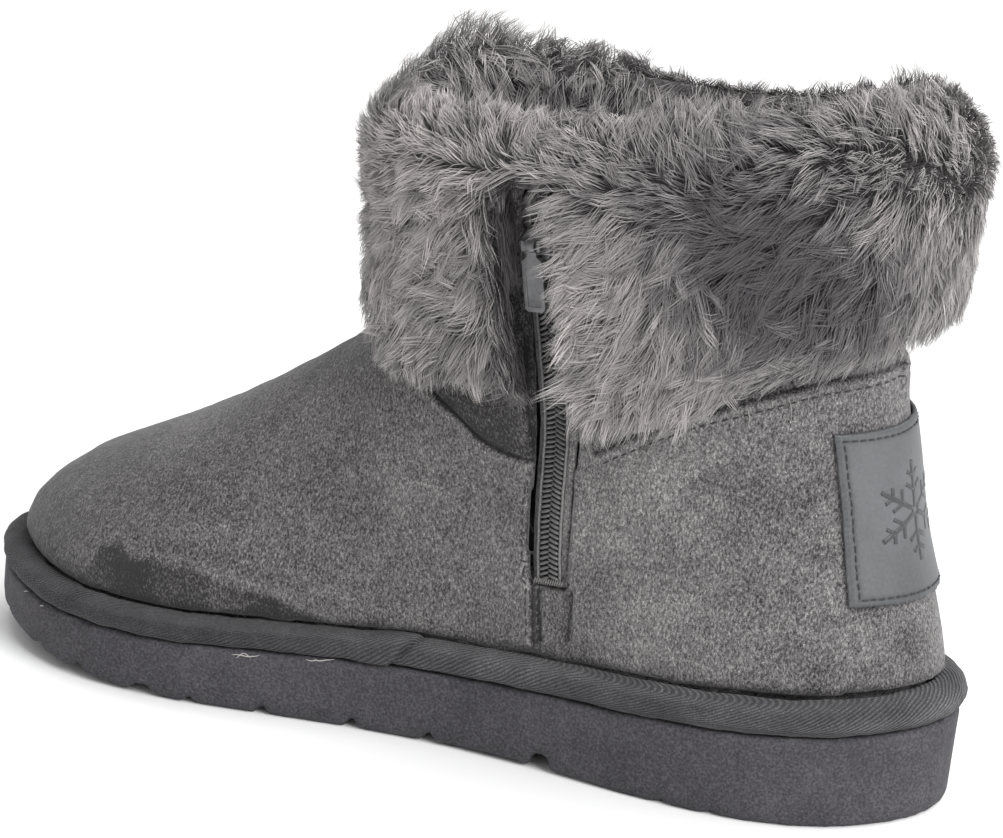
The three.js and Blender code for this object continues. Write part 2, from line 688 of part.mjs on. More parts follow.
const notch = zipBand(80, CUFF_NOTCH_TOP, CUFF_NOTCH_FRONT, CUFF_NOTCH_BACK, -0.5, 26, 8);
cuff = cut(cuff, notch);

// ---- heel patch ---------------------------------------------------------------------------
const PATCH_LOW = 54;
const PATCH_HIGH = 96;
// Reach of the patch either side of the heel's back seam.
const PATCH_EDGE = [
  { z: 54, half: 22 },
  { z: 75, half: 19.6 },
  { z: 96, half: 20.4 },
];
const PATCH_THICK = 1.3;

// Turn round the heel at a level where the skin crosses the given x.
function heelTurn(level, x) {
  let low = 0.75;
  let high = 1.25;
  for (let i = 0; i < 30; i += 1) {
    const mid = (low + high) / 2;
    if (skin(level, mid).x > x) low = mid;
    else high = mid;
  }
  return (low + high) / 2;
}

function patchSolid() {
  const across = 16;
  const upSteps = 8;
  const outer = [];
  const inner = [];
  for (let i = 0; i <= upSteps; i += 1) {
    const z = PATCH_LOW + ((PATCH_HIGH - PATCH_LOW) * i) / upSteps;
    for (let j = 0; j <= across; j += 1) {
      const half = column(PATCH_EDGE, 'z', 'half', z);
      const x = half * (1 - (2 * j) / across);
      const first = levelAt(z, 1);
      const level = levelAt(z, heelTurn(first, x));
      const turn = heelTurn(level, x);
      outer.push(offSkin(level, turn, GAP + PATCH_THICK));
      inner.push(offSkin(level, turn, GAP));
    }
  }
  const positions = [];
  [...outer, ...inner].forEach((p) => positions.push(p.x, p.y, p.z));
  const wide = across + 1;
  const under = outer.length;
  const index = [];
  for (let i = 0; i < upSteps; i += 1) {
    for (let j = 0; j < across; j += 1) {
      const a = i * wide + j;
      const b = a + 1;
      const c = a + wide + 1;
      const d = a + wide;
      index.push(a, b, c, a, c, d, under + a, under + c, under + b, under + a, under + d, under + c);
    }
  }
  const edge = [];
  for (let j = 0; j < across; j += 1) edge.push([j + 1, j]);
  for (let i = 0; i < upSteps; i += 1) edge.push([i * wide, (i + 1) * wide]);
  for (let j = 0; j < across; j += 1) edge.push([upSteps * wide + j, upSteps * wide + j + 1]);
  for (let i = 0; i < upSteps; i += 1) edge.push([(i + 1) * wide + across, i * wide + across]);
  edge.forEach(([p, q]) => index.push(p, q, under + q, p, under + q, under + p));
  const geometry = new THREE.BufferGeometry();
  geometry.setAttribute('position', new THREE.Float32BufferAttribute(positions, 3));
  geometry.setIndex(index);
  return geometry;
}

const patch = patchSolid();

// ---- assembly -----------------------------------------------------------------------------
const group = new THREE.Group();
group.name = 'snow_boot';

const suede = new THREE.MeshStandardMaterial({ color: 0x77757a, roughness: 0.95, metalness: 0 });
const foam = new THREE.MeshStandardMaterial({ color: 0x4b484e, roughness: 0.8, metalness: 0 });
const twill = new THREE.MeshStandardMaterial({ color: 0x55525a, roughness: 0.9, metalness: 0 });
const fur = new THREE.MeshStandardMaterial({ color: 0x938c8b, roughness: 1, metalness: 0 });
const felt = new THREE.MeshStandardMaterial({ color: 0x8b8685, roughness: 1, metalness: 0 });
const leather = new THREE.MeshStandardMaterial({ color: 0x66686f, roughness: 0.6, metalness: 0 });
const nylon = new THREE.MeshStandardMaterial({ color: 0x4a4b50, roughness: 0.6, metalness: 0 });
const metal = new THREE.MeshStandardMaterial({ color: 0x55575c, roughness: 0.4, metalness: 1 });

const pieces = [
  ['outsole', outsole, foam],
  ['binding_strip', strip, twill],
  ['insole', insole, felt],
  ['upper', upper, suede],
  ['fur_cuff', cuff, fur],
  ['zip', zip, nylon],
  ['zip_slider', slider, metal],
  ['zip_pull', pull, metal],
  ['heel_patch', patch, leather],
];

// The origin is the middle of the bounding box, on the ground.
const bounds = new THREE.Box3();
pieces.forEach(([, geometry]) => {
  geometry.computeBoundingBox();
  bounds.union(geometry.boundingBox);
});
const middle = bounds.getCenter(new THREE.Vector3());

pieces.forEach(([name, geometry, material]) => {
  geometry.translate(-middle.x, -middle.y, -bounds.min.z);
  const mesh = new THREE.Mesh(geometry, material);
  mesh.name = name;
  group.add(mesh);
});

export default group;
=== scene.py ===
"""Snow boot in grey suede with a folded fur cuff: the looks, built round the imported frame.
Metres throughout. Toe towards -Y, zip side +X, standing on z = 0."""
import json
import math

import bpy
import numpy as np
from mathutils import Matrix, Vector, kdtree, noise
from mathutils.bvhtree import BVHTree


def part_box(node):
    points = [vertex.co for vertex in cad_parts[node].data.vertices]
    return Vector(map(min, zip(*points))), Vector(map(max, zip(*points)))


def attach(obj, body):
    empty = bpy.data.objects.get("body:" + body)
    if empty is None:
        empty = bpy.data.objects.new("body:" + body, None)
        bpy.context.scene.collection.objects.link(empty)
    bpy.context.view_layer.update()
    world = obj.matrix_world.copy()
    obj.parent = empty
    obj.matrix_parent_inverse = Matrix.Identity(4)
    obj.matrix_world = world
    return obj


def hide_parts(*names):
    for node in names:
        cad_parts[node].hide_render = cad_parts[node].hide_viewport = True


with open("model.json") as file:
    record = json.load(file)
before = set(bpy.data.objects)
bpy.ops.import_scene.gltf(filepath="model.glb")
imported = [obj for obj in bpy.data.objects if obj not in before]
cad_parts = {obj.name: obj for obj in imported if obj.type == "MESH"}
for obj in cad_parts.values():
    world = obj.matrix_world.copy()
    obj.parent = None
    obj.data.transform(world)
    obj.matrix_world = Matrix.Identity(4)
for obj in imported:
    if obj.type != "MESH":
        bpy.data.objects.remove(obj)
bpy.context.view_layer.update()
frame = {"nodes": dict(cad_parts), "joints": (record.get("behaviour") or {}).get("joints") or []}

MM = 0.001
MIDDLE_X = 4.44         # centre line of the heel and the shaft, in millimetres
SHAFT_AXIS = Vector((MIDDLE_X * MM, 45 * MM, 0))    # the shaft and its cuff stand round this
THROUGH = 0.16          # a ray this long, in metres, crosses the whole boot
SEED = 41


def mm(*values):
    return Vector(values) * MM


# ---------------------------------------------------------------- small tools
def clear_selection():
    if bpy.context.object and bpy.context.object.mode != "OBJECT":
        bpy.ops.object.mode_set(mode="OBJECT")
    bpy.ops.object.select_all(action="DESELECT")


def pick(piece):
    clear_selection()
    piece.select_set(True)
    bpy.context.view_layer.objects.active = piece


def rename(piece, name):
    piece.name = name
    piece.data.name = name
    return piece


def copy_of(node, name):
    """A solid copied from the frame, its corners merged and its triangles paired into quads."""
    piece = frame["nodes"][node].copy()
    piece.data = piece.data.copy()
    bpy.context.scene.collection.objects.link(piece)
    piece.parent = None
    for key in list(piece.keys()):
        del piece[key]
    piece.data.materials.clear()
    rename(piece, name)
    pick(piece)
    bpy.ops.mesh.customdata_custom_splitnormals_clear()
    bpy.ops.object.mode_set(mode="EDIT")
    bpy.ops.mesh.select_all(action="SELECT")
    bpy.ops.mesh.remove_doubles(threshold=1e-5)
    bpy.ops.mesh.tris_convert_to_quads()
    bpy.ops.object.mode_set(mode="OBJECT")
    return piece


def modify(piece, kind, **settings):
    pick(piece)
    modifier = piece.modifiers.new(kind.lower(), kind)
    for key, value in settings.items():
        setattr(modifier, key, value)
    bpy.ops.object.modifier_apply(modifier=modifier.name)
    return piece


def remesh(piece, size, passes):
    """Even quads over the whole solid, its edges eased."""
    modify(piece, "REMESH", mode="VOXEL", voxel_size=size * MM, use_smooth_shade=True)
    modify(piece, "SMOOTH", factor=0.5, iterations=passes)


def points_of(piece):
    flat = np.empty(len(piece.data.vertices) * 3, np.float32)
    piece.data.vertices.foreach_get("co", flat)
    return flat.reshape(-1, 3).astype(float)


def normals_of(piece):
    flat = np.empty(len(piece.data.vertices) * 3, np.float32)
    piece.data.vertex_normals.foreach_get("vector", flat)
    return flat.reshape(-1, 3).astype(float)


def move_points(piece, points):
    piece.data.vertices.foreach_set("co", points.astype(np.float32).ravel())
    piece.data.update()


def tree_of(piece):
    mesh = piece.data
    return BVHTree.FromPolygons([v.co for v in mesh.vertices], [p.vertices for p in mesh.polygons])


def paint_points(piece, name, values):
    """A number stored at each point of a piece, for its material to read."""
    attribute = piece.data.attributes.new(name, "FLOAT", "POINT")
    attribute.data.foreach_set("value", np.asarray(values, np.float32))


def place_tree(points):
    """A tree that finds the nearest of some points."""
    tree = kdtree.KDTree(len(points))
    for i, p in enumerate(points):
        tree.insert(p, i)
    tree.balance()
    return tree


def mesh_piece(name, points, faces):
    mesh = bpy.data.meshes.new(name)
    mesh.from_pydata(points, [], faces)
    mesh.update()
    piece = bpy.data.objects.new(name, mesh)
    bpy.context.scene.collection.objects.link(piece)
    return piece


def dress(piece, body, slot, finish, *nodes):
    """Gives a piece its finish and its body, and the solids that it stands for."""
    piece.data.materials.clear()
    piece.data.materials.append(finish)
    for face in piece.data.polygons:
        face.use_smooth = True
    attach(piece, body)
    if nodes:
        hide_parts(*nodes)
    return piece


def smoothstep(low, high, x):
    t = np.clip((x - low) / (high - low), 0, 1)
    return t * t * (3 - 2 * t)


def wave(points, size, seed):
    """Soft unrepeating noise, -1 to 1, over points in metres; size in millimetres."""
    shift = Vector((seed * 1.7, seed * 0.9, seed * 2.3))
    return np.array([noise.noise(Vector(p) / (size * MM) + shift) for p in points]) * 1.6


def dome(points, centre, radius):
    """1 at a centre, falling away smoothly over a radius, both in millimetres."""
    away = np.linalg.norm(points - np.array(centre) * MM, axis=1)
    return np.exp(-(away / (radius * MM)) ** 2)


def unit(vectors):
    return vectors / np.maximum(np.linalg.norm(vectors, axis=-1, keepdims=True), 1e-12)


def curve_through(corners):
    """Points about every half millimetre on a smooth curve through corners."""
    p = [Vector(c) for c in corners]
    p = [p[0] * 2 - p[1], *p, p[-1] * 2 - p[-2]]
    out = []
    for a, b, c, d in zip(p, p[1:], p[2:], p[3:]):
        count = max(2, round((c - b).length / (0.5 * MM)))
        for i in range(count):
            t = i / count
            out.append(0.5 * (2 * b + (c - a) * t + (2 * a - 5 * b + 4 * c - d) * t * t
                              + (3 * b - a - 3 * c + d) * t ** 3))
    out.append(p[-2])
    return out


def thread(name, route, radius, sides=5):
    """A closed fine thread along a route of points, thinner towards its two ends."""
    points, faces = [], []
    side = Vector((0.3, 0.2, 1))
    for i, here in enumerate(route):
        along = (route[min(i + 1, len(route) - 1)] - route[max(i - 1, 0)]).normalized()
        side = (side - along * side.dot(along)).normalized()
        other = along.cross(side)
        wide = radius * (1 - 0.75 * abs(2 * i / (len(route) - 1) - 1) ** 3)
        for k in range(sides):
            turn = 2 * math.pi * k / sides
            points.append(here + (side * math.cos(turn) + other * math.sin(turn)) * wide * MM)
    for i in range(len(route) - 1):
        for k in range(sides):
            a, b = i * sides + k, i * sides + (k + 1) % sides
            faces.append((a, b, b + sides, a + sides))
    faces.append(tuple(reversed(range(sides))))
    faces.append(tuple(range((len(route) - 1) * sides, len(route) * sides)))
    return mesh_piece(name, points, faces)


def bead(segments, rings, x, y, z):
    """Points and faces of a small rounded shape, with its half sizes in millimetres."""
    clear_selection()
    bpy.ops.mesh.primitive_uv_sphere_add(segments=segments, ring_count=rings, radius=1)
    bpy.ops.transform.resize(value=(x * MM, y * MM, z * MM))
    bpy.ops.object.transform_apply(location=True, rotation=True, scale=True)
    piece = bpy.context.object
    points, faces = points_of(piece), sorted(tuple(p.vertices) for p in piece.data.polygons)
    bpy.data.objects.remove(piece)
    return points, faces


def repeat(name, shape, places):
    """One joined piece of copies of a shape; a place is an origin and three axes."""
    points, faces = shape
    all_points, all_faces = [], []
    for origin, ax, ay, az in places:
        base = len(all_points) * len(points)
        turn = np.array([ax, ay, az], float)
        all_points.append(points @ turn + np.array(origin, float))
        all_faces.extend(tuple(base + i for i in face) for face in faces)
    return mesh_piece(name, np.concatenate(all_points).tolist(), all_faces)


def join(name, pieces):
    clear_selection()
    for piece in pieces:
        piece.select_set(True)
    bpy.context.view_layer.objects.active = pieces[0]
    bpy.ops.object.join()
    return rename(pieces[0], name)


# ---------------------------------------------------------------- finishes
class Value:
    """A number, colour or vector on its way through a finish's nodes."""

    def __init__(self, finish, socket):
        self.finish, self.socket = finish, socket

    def maths(self, operation, other=None, flipped=False):
        pair = [self] if other is None else [other, self] if flipped else [self, other]
        return self.finish.node("ShaderNodeMath", {"operation": operation}, dict(enumerate(pair)))

    def __add__(self, other):
        return self.maths("ADD", other)

    def __sub__(self, other):
        return self.maths("SUBTRACT", other)

    def __rsub__(self, other):
        return self.maths("SUBTRACT", other, True)

    def __mul__(self, other):
        return self.maths("MULTIPLY", other)

    __radd__, __rmul__ = __add__, __mul__

    def above(self, low, high):
        """0 below low, 1 above high, smooth between."""
        return self.finish.node("ShaderNodeMapRange", {"interpolation_type": "SMOOTHSTEP"},
                                {0: self, 1: low, 2: high, 3: 0.0, 4: 1.0})


class Finish:
    """One material and the nodes that make it."""

    def __init__(self, name, **constants):
        self.material = bpy.data.materials.new(name)
        self.material.use_nodes = True
        self.tree = self.material.node_tree
        self.tree.nodes.clear()
        self.shader = self.tree.nodes.new("ShaderNodeBsdfPrincipled")
        output = self.tree.nodes.new("ShaderNodeOutputMaterial")
        self.tree.links.new(self.shader.outputs[0], output.inputs[0])
        for key, value in constants.items():
            self.shader.inputs[key.replace("_", " ")].default_value = value
        self.place = self.node("ShaderNodeTexCoord", output=3)

    def node(self, kind, settings=None, inputs=None, output=0):
        made = self.tree.nodes.new(kind)
        for key, value in (settings or {}).items():
            if key == "stops":
                ramp = made.color_ramp.elements
                while len(ramp) < len(value):
                    ramp.new(0.5)
                for stop, (position, colour) in zip(ramp, value):
                    stop.position, stop.color = position, (*colour, 1)
            else:
                setattr(made, key, value)
        for key, value in (inputs or {}).items():
            if isinstance(value, Value):
                self.tree.links.new(value.socket, made.inputs[key])
            else:
                made.inputs[key].default_value = value
        return Value(self, made.outputs[output])

    def noise(self, size, detail=2.0, rough=0.5, place=None, distortion=0.0):
        """Noise, about 0.25 to 0.75, with features about size millimetres across."""
        return self.node("ShaderNodeTexNoise", None, {
            "Vector": place or self.place, "Scale": 1 / (size * MM), "Detail": detail,
            "Roughness": rough, "Distortion": distortion})

    def stretched(self, x, y, z, turn=(0, 0, 0)):
        return self.node("ShaderNodeMapping", None, {0: self.place, 2: turn, 3: (x, y, z)})

    def stored(self, name):
        return self.node("ShaderNodeAttribute", {"attribute_name": name}, output=2)

    def map_parts(self, name):
        """The two directions of a piece's own map."""
        first = self.node("ShaderNodeSeparateXYZ", None,
                          {0: self.node("ShaderNodeUVMap", {"uv_map": name})})
        return first, Value(self, first.socket.node.outputs[1])

    def mix(self, share, first, second, how="MIX"):
        def colour(c):
            return c if isinstance(c, Value) else (*c, 1)
        return self.node("ShaderNodeMix", {"data_type": "RGBA", "blend_type": how},
                         {0: share, 6: colour(first), 7: colour(second)}, 2)

    def ramp(self, value, *stops):
        return self.node("ShaderNodeValToRGB", {"stops": stops}, {0: value})

    def bump(self, height, deep, strength=1.0, under=None):
        inputs = {"Strength": strength, "Distance": deep * MM, "Height": height}
        if under:
            inputs["Normal"] = under
        return self.node("ShaderNodeBump", None, inputs)

    def set(self, **sockets):
        for key, value in sockets.items():
            self.tree.links.new(value.socket, self.shader.inputs[key.replace("_", " ")])
        return self.material


STRAND_MAP = "OFBake"       # a fur strand's map: its tone across, root to tip upwards
CLOTH_MAP = "cloth"         # the strip's map: metres along it, and round its section


def suede_finish():
    """Fine nap over mottled hide, darkened by the shade stored on the upper."""
    f = Finish("suede", Roughness=0.92, Sheen_Weight=0.22, Sheen_Roughness=0.55,
               Specular_IOR_Level=0.15)
    shade = f.stored("shade")
    nap = f.noise(0.55, 2.0, 0.65, f.stretched(1, 1, 0.6, (0.5, 0, 0)))
    fibre = f.noise(0.30, 1.0, 0.5)
    mottle = f.noise(3.4, 3.0, 0.65, distortion=0.6)
    cloud = f.noise(24, 2.0, 0.5)
    tone = ((nap - 0.5) * 1.75 + (fibre - 0.5) * 0.9 + (mottle - 0.5) * 0.42
            + (cloud - 0.5) * 0.22 - shade + 0.5)
    colour = f.ramp(tone, (0.0, (0.014, 0.013, 0.014)), (0.28, (0.064, 0.061, 0.062)),
                    (0.5, (0.122, 0.117, 0.118)), (0.72, (0.188, 0.182, 0.181)),
                    (1.0, (0.36, 0.352, 0.345)))
    rough = f.bump(nap * 0.7 + fibre * 0.5, 0.3, 0.85)
    return f.set(Base_Color=colour, Normal=f.bump(mottle, 0.7, 0.5, rough))


def pile_finish(name, dark, light, size):
    """Matted short pile, light on its tufts and dark between them: painted shade in the hollows.
    """
    f = Finish(name, Roughness=0.95, Sheen_Weight=0.25, Specular_IOR_Level=0.1)
    tuft = f.noise(size, 3.0, 0.65, distortion=1.2)
    fine = f.noise(size / 5, 2.0, 0.6)
    tone = tuft * 0.75 + fine * 0.35
    colour = f.ramp(tone, (0.35, dark), (0.75, light))
    return f.set(Base_Color=colour, Normal=f.bump(tone, 1.6, 0.9))


def fur_finish():
    """Strand colour, by the strand's own tone across and by its root-to-tip length upwards."""
    f = Finish("fur_strand", Roughness=0.7, Sheen_Weight=0.15, Specular_IOR_Level=0.25)
    tone, length = f.map_parts(STRAND_MAP)
    along = f.ramp(length, (0.0, (0.050, 0.046, 0.047)), (0.3, (0.140, 0.131, 0.132)),
                   (0.65, (0.29, 0.274, 0.272)), (1.0, (0.47, 0.45, 0.443)))
    shade = f.ramp(tone, (0.0, (0.22, 0.215, 0.23)), (0.5, (0.86, 0.85, 0.86)),
                   (1.0, (1.75, 1.73, 1.70)))
    return f.set(Base_Color=f.mix(1.0, along, shade, "MULTIPLY"))


def foam_finish():
    """Foam rubber: fine cells, broad cloudiness, pale specks and long scuffs."""
    f = Finish("sole_foam", Roughness=0.72, Specular_IOR_Level=0.3)
    cell = f.noise(0.7, 2.0, 0.6)
    patch = f.noise(9, 3.0, 0.55)
    broad = f.noise(45, 2.0, 0.5)
    scuff = f.noise(2.6, 3.0, 0.6, f.stretched(1, 1, 3.5), 0.8).above(0.68, 0.76)
    speck = f.noise(1.1, 1.0, 0.4).above(0.735, 0.775)
    tone = (cell - 0.5) * 1.7 + (patch - 0.5) * 0.45 + (broad - 0.5) * 0.4 + 0.5
    colour = f.ramp(tone, (0.1, (0.0215, 0.0203, 0.0245)), (0.5, (0.048, 0.0458, 0.0525)),
                    (0.9, (0.089, 0.0855, 0.0955)))
    colour = f.mix(speck * 0.22, colour, (0.20, 0.195, 0.205))
    colour = f.mix(scuff * 0.2, colour, (0.14, 0.136, 0.145))
    height = cell * 0.5 + patch * 0.4
    return f.set(Base_Color=colour, Roughness=0.68 + cell * 0.16, Normal=f.bump(height, 0.35, 0.7))


def twill_finish():
    """Diagonal ribs that follow the strip, whose own map runs along it and round its section."""
    f = Finish("twill", Roughness=0.85, Sheen_Weight=0.12, Specular_IOR_Level=0.2)
    along, across = f.map_parts(CLOTH_MAP)
    wander = (f.noise(6, 2.0) - 0.5) * 2.2
    rib = (across * 5200 - along * 3300 + wander).maths("SINE") * 0.5 + 0.5
    yarn = (along * 5200 + across * 1600).maths("SINE") * 0.5 + 0.5
    worn = f.stored("worn")
    fibre = f.noise(0.45, 2.0, 0.6)
    patch = f.noise(11, 3.0, 0.6)
    strong = f.stored("ribbed")
    tone = (rib - 0.5) * (strong * 0.42) + (fibre - 0.5) * 1.3 + (patch - 0.5) * 0.7 + worn + 0.36
    colour = f.ramp(tone, (0.0, (0.014, 0.014, 0.016)), (0.45, (0.050, 0.049, 0.053)),
                    (0.75, (0.092, 0.090, 0.095)), (1.0, (0.19, 0.186, 0.19)))
    height = rib * (strong * 0.8 + 0.15) + yarn * 0.15 + fibre * 0.5
    return f.set(Base_Color=colour, Normal=f.bump(height, 0.45, 0.9))


def leather_finish():
    """Smooth grained leather, darker where the edge stored on it says: along its pressed lines and
    low down at the back.
    """
    f = Finish("patch_leather", Roughness=0.45, Coat_Weight=0.12, Coat_Roughness=0.45)
    grain = f.noise(0.9, 3.0, 0.55)
    fine = f.noise(0.3, 2.0, 0.6)
    broad = f.noise(18, 2.0, 0.5)
    edge = f.stored("edge")
    tone = (grain - 0.5) * 0.3 + (broad - 0.5) * 0.5 + (fine - 0.5) * 0.2 + 0.5 - edge
    colour = f.ramp(tone, (0.0, (0.014, 0.015, 0.016)), (0.3, (0.053, 0.055, 0.059)),
                    (0.6, (0.096, 0.099, 0.105)), (1.0, (0.165, 0.169, 0.176)))
    return f.set(Base_Color=colour, Roughness=0.40 + grain * 0.25,
                 Normal=f.bump(grain + fine * 0.5, 0.16, 0.6))


def plain_finish(name, dark, light, size, roughness, deep, specular=0.4, metal=0.0):
    """Two close tones broken up by noise: threads, nylon, cord and metal."""
    f = Finish(name, Roughness=roughness, Metallic=metal, Specular_IOR_Level=specular)
    grain = f.noise(size, 3.0, 0.6)
    fine = f.noise(size / 4, 2.0, 0.6)
    return f.set(Base_Color=f.ramp(grain * 0.7 + fine * 0.3, (0.3, dark), (0.7, light)),
                 Roughness=roughness - 0.1 + fine * 0.2, Normal=f.bump(fine + grain, deep, 0.7))


SUEDE = suede_finish()
FUR = fur_finish()
PELT = pile_finish("fur_ground", (0.034, 0.031, 0.032), (0.11, 0.104, 0.105), 2.6)
LINING = pile_finish("lining_pile", (0.035, 0.032, 0.034), (0.145, 0.138, 0.137), 3.2)
FOAM = foam_finish()
TWILL = twill_finish()
LEATHER = leather_finish()
COIL = plain_finish("coil_nylon", (0.045, 0.045, 0.047), (0.125, 0.124, 0.123),
                    1.2, 0.34, 0.05, 0.5)
CORD = plain_finish("tape_cord", (0.11, 0.108, 0.108), (0.24, 0.236, 0.234),
                    0.7, 0.8, 0.1, 0.2)
TACK = plain_finish("tack_thread", (0.10, 0.097, 0.096), (0.20, 0.195, 0.19),
                    0.5, 0.8, 0.05, 0.3)
METAL = plain_finish("zip_metal", (0.10, 0.101, 0.104), (0.17, 0.171, 0.176),
                     2.2, 0.42, 0.04, 0.5, 0.4)
THREAD = plain_finish("dark_thread", (0.018, 0.018, 0.020), (0.055, 0.054, 0.056),
                      0.5, 0.7, 0.05, 0.3)
PALE_THREAD = plain_finish("pale_thread", (0.30, 0.29, 0.28), (0.52, 0.50, 0.48),
                           0.5, 0.8, 0.05, 0.3)
WISP = plain_finish("loose_fur", (0.12, 0.115, 0.115), (0.30, 0.285, 0.28),
                    0.8, 0.75, 0.05, 0.3)
FOIL = plain_finish("pressed_mark", (0.022, 0.023, 0.026), (0.050, 0.052, 0.057),
                    0.8, 0.38, 0.04, 0.5)

# ---------------------------------------------------------------- the suede upper
suede = copy_of("upper", "suede_upper")
insole_tree = tree_of(frame["nodes"]["insole"])
remesh(suede, 1.4, 5)
wall_tree = tree_of(suede)


def meets(tree, p, n):
    """True where a point looks at a surface of the tree on the boot's other side."""
    return tree.ray_cast(Vector(p) + Vector(n) * 0.9 * MM, Vector(n), THROUGH)[0] is not None


def faces_out(points, normals):
    """True where a point of the upper looks away from the inside of the boot."""
    return np.array([not (meets(wall_tree, p, n) or meets(insole_tree, p, n))
                     for p, n in zip(points, normals)])


def on_skin(point):
    """The nearest place on the upper's outer skin, with its normal."""
    found, normal, _, _ = wall_tree.find_nearest(point)
    return found, normal


def line_on_skin(corners):
    return [on_skin(p)[0] for p in curve_through([mm(*c) for c in corners])]


LATERAL_REACH = 1.375       # how much further the lateral wall stands from the centre line


def mirrored(corners):
    """The same line on the lateral side, set outside the fuller wall there."""
    return [(MIDDLE_X - LATERAL_REACH * (x - MIDDLE_X), y, z) for x, y, z in corners]


# Seams, as points near the skin from one end to the other, in millimetres.
VAMP_EDGE = [(15, -21.0, 102.5), (22.2, -17.4, 99.5), (31.0, -5.6, 94.3), (34.3, 5.5, 88),
             (34.8, 15.5, 81.5), (35.5, 23.8, 79.6), (36.1, 30.2, 79)]
VAMP_SIDE = [(36.1, 30.2, 79), (36, 30.2, 66), (36, 30.4, 54), (35.6, 30.9, 44),
             (35.2, 31.4, 33)]
FACING_SEAM = [(36.4, 30.0, 80), (37.1, 28.6, 88), (38.2, 27.8, 98), (39, 26.8, 110)]
STUB_FRONT = [(36.0, 33.4, 47.5), (36.0, 33.8, 41), (35.6, 34.3, 34)]
STUB_BACK = [(36.0, 42.6, 47), (36.0, 42.4, 41), (35.8, 42.0, 36)]
QUARTER_EDGE = [(38.4, 47, 84.5), (38.2, 60, 92.6), (36.9, 71.8, 98.6), (33, 85, 103.6),
                (26.2, 97.1, 107.6), (16.5, 105.9, 109), (MIDDLE_X, 108.6, 109.4)]
QUARTER_FAR = [(37.5, 50, 113), (37.2, 62, 109), (36.0, 74, 106), (32.6, 85, 105.5),
               *QUARTER_EDGE[4:]]      # on the lateral side it runs up under the fur
SEAM_WIDTH = 0.45                      # millimetres that a lapped edge takes to rise
seams = []


def add_seam(corners, height, groove, flip=False):
    """A lapped edge along corners: how high it stands, how deep its groove, both millimetres.
    Its raised side is on the left of the line as seen from outside, or the right if flipped."""
    route = line_on_skin(corners)
    p = np.array([list(v) for v in route])
    t = unit(np.gradient(p, axis=0))
    n = np.array([list(on_skin(v)[1]) for v in route])
    across = unit(np.cross(n, t)) * (-1 if flip else 1)
    seams.append({"points": p, "along": t, "across": across, "height": height, "groove": groove})
    return seams[-1]


vamp_seams = [add_seam(VAMP_EDGE, 0.8, 0.3, True),
              add_seam(mirrored(VAMP_EDGE), 0.8, 0.3)]
side_seams = [add_seam(VAMP_SIDE, 0.3, 0.35, True),
              add_seam(mirrored(VAMP_SIDE), 0.3, 0.35)]
for corners, height, groove in ((FACING_SEAM, 0.2, 0.45), (STUB_FRONT, 0.2, 0.35),
                                (STUB_BACK, 0.15, 0.2)):
    add_seam(corners, height, groove)
quarter_seams = [add_seam(QUARTER_EDGE, 0.75, 0.2, True),
                 add_seam(mirrored(QUARTER_FAR), 0.75, 0.2)]


def near_seam(points, seam, reach):
    """Signed distance across a seam for points within reach of it, millimetres; others are 99."""
    tree = place_tree(seam["points"])
    away = np.full(len(points), 99.0)
    low, high = seam["points"].min(0) - reach * MM, seam["points"].max(0) + reach * MM
    for k in np.nonzero(np.all((points > low) & (points < high), axis=1))[0]:
        _, i, distance = tree.find(points[k])
        if distance > reach * MM:
            continue
        offset = points[k] - seam["points"][i]
        past = abs(offset @ seam["along"][i]) / MM if i in (0, len(seam["points"]) - 1) else 0
        if past < 1.5:
            away[k] = math.copysign(distance / MM, offset @ seam["across"][i])
    return away


# Finer faces along the seams, so that their edges are crisp.
points = points_of(suede)
outside = faces_out(points, normals_of(suede))
close = np.zeros(len(points), bool)
for seam in seams:
    close |= np.abs(near_seam(points, seam, 2.6)) < 2.6
close &= outside
pick(suede)
for face in suede.data.polygons:
    face.select = all(close[i] for i in face.vertices)
bpy.ops.object.mode_set(mode="EDIT")
bpy.ops.mesh.select_mode(type="FACE")
bpy.ops.mesh.subdivide(number_cuts=2, smoothness=0.0)
bpy.ops.object.mode_set(mode="OBJECT")

points, normals = points_of(suede), normals_of(suede)
outside = faces_out(points, normals).astype(float)
rise = np.zeros(len(points))
shade = np.zeros(len(points))
for seam in seams:
    away = near_seam(points, seam, 16)
    here = np.abs(away) < 90
    step = smoothstep(-SEAM_WIDTH, SEAM_WIDTH, away) * (1 - smoothstep(3, 15, away))
    roll = 0.22 * np.exp(-((away - 1.3) / 0.8) ** 2)
    dip = -seam["groove"] * np.exp(-((away + 0.3) / 0.7) ** 2)
    rise += np.where(here, seam["height"] * step + roll + dip, 0)
    # Painted shade in each seam's groove and painted light along its rolled edge.
    shade += np.where(here, 0.36 * np.exp(-((away + 0.45) / 0.45) ** 2)
                      + 0.12 * np.exp(-((away + 1.3) / 1.4) ** 2)
                      - 0.07 * np.exp(-((away - 1.1) / 0.9) ** 2), 0)

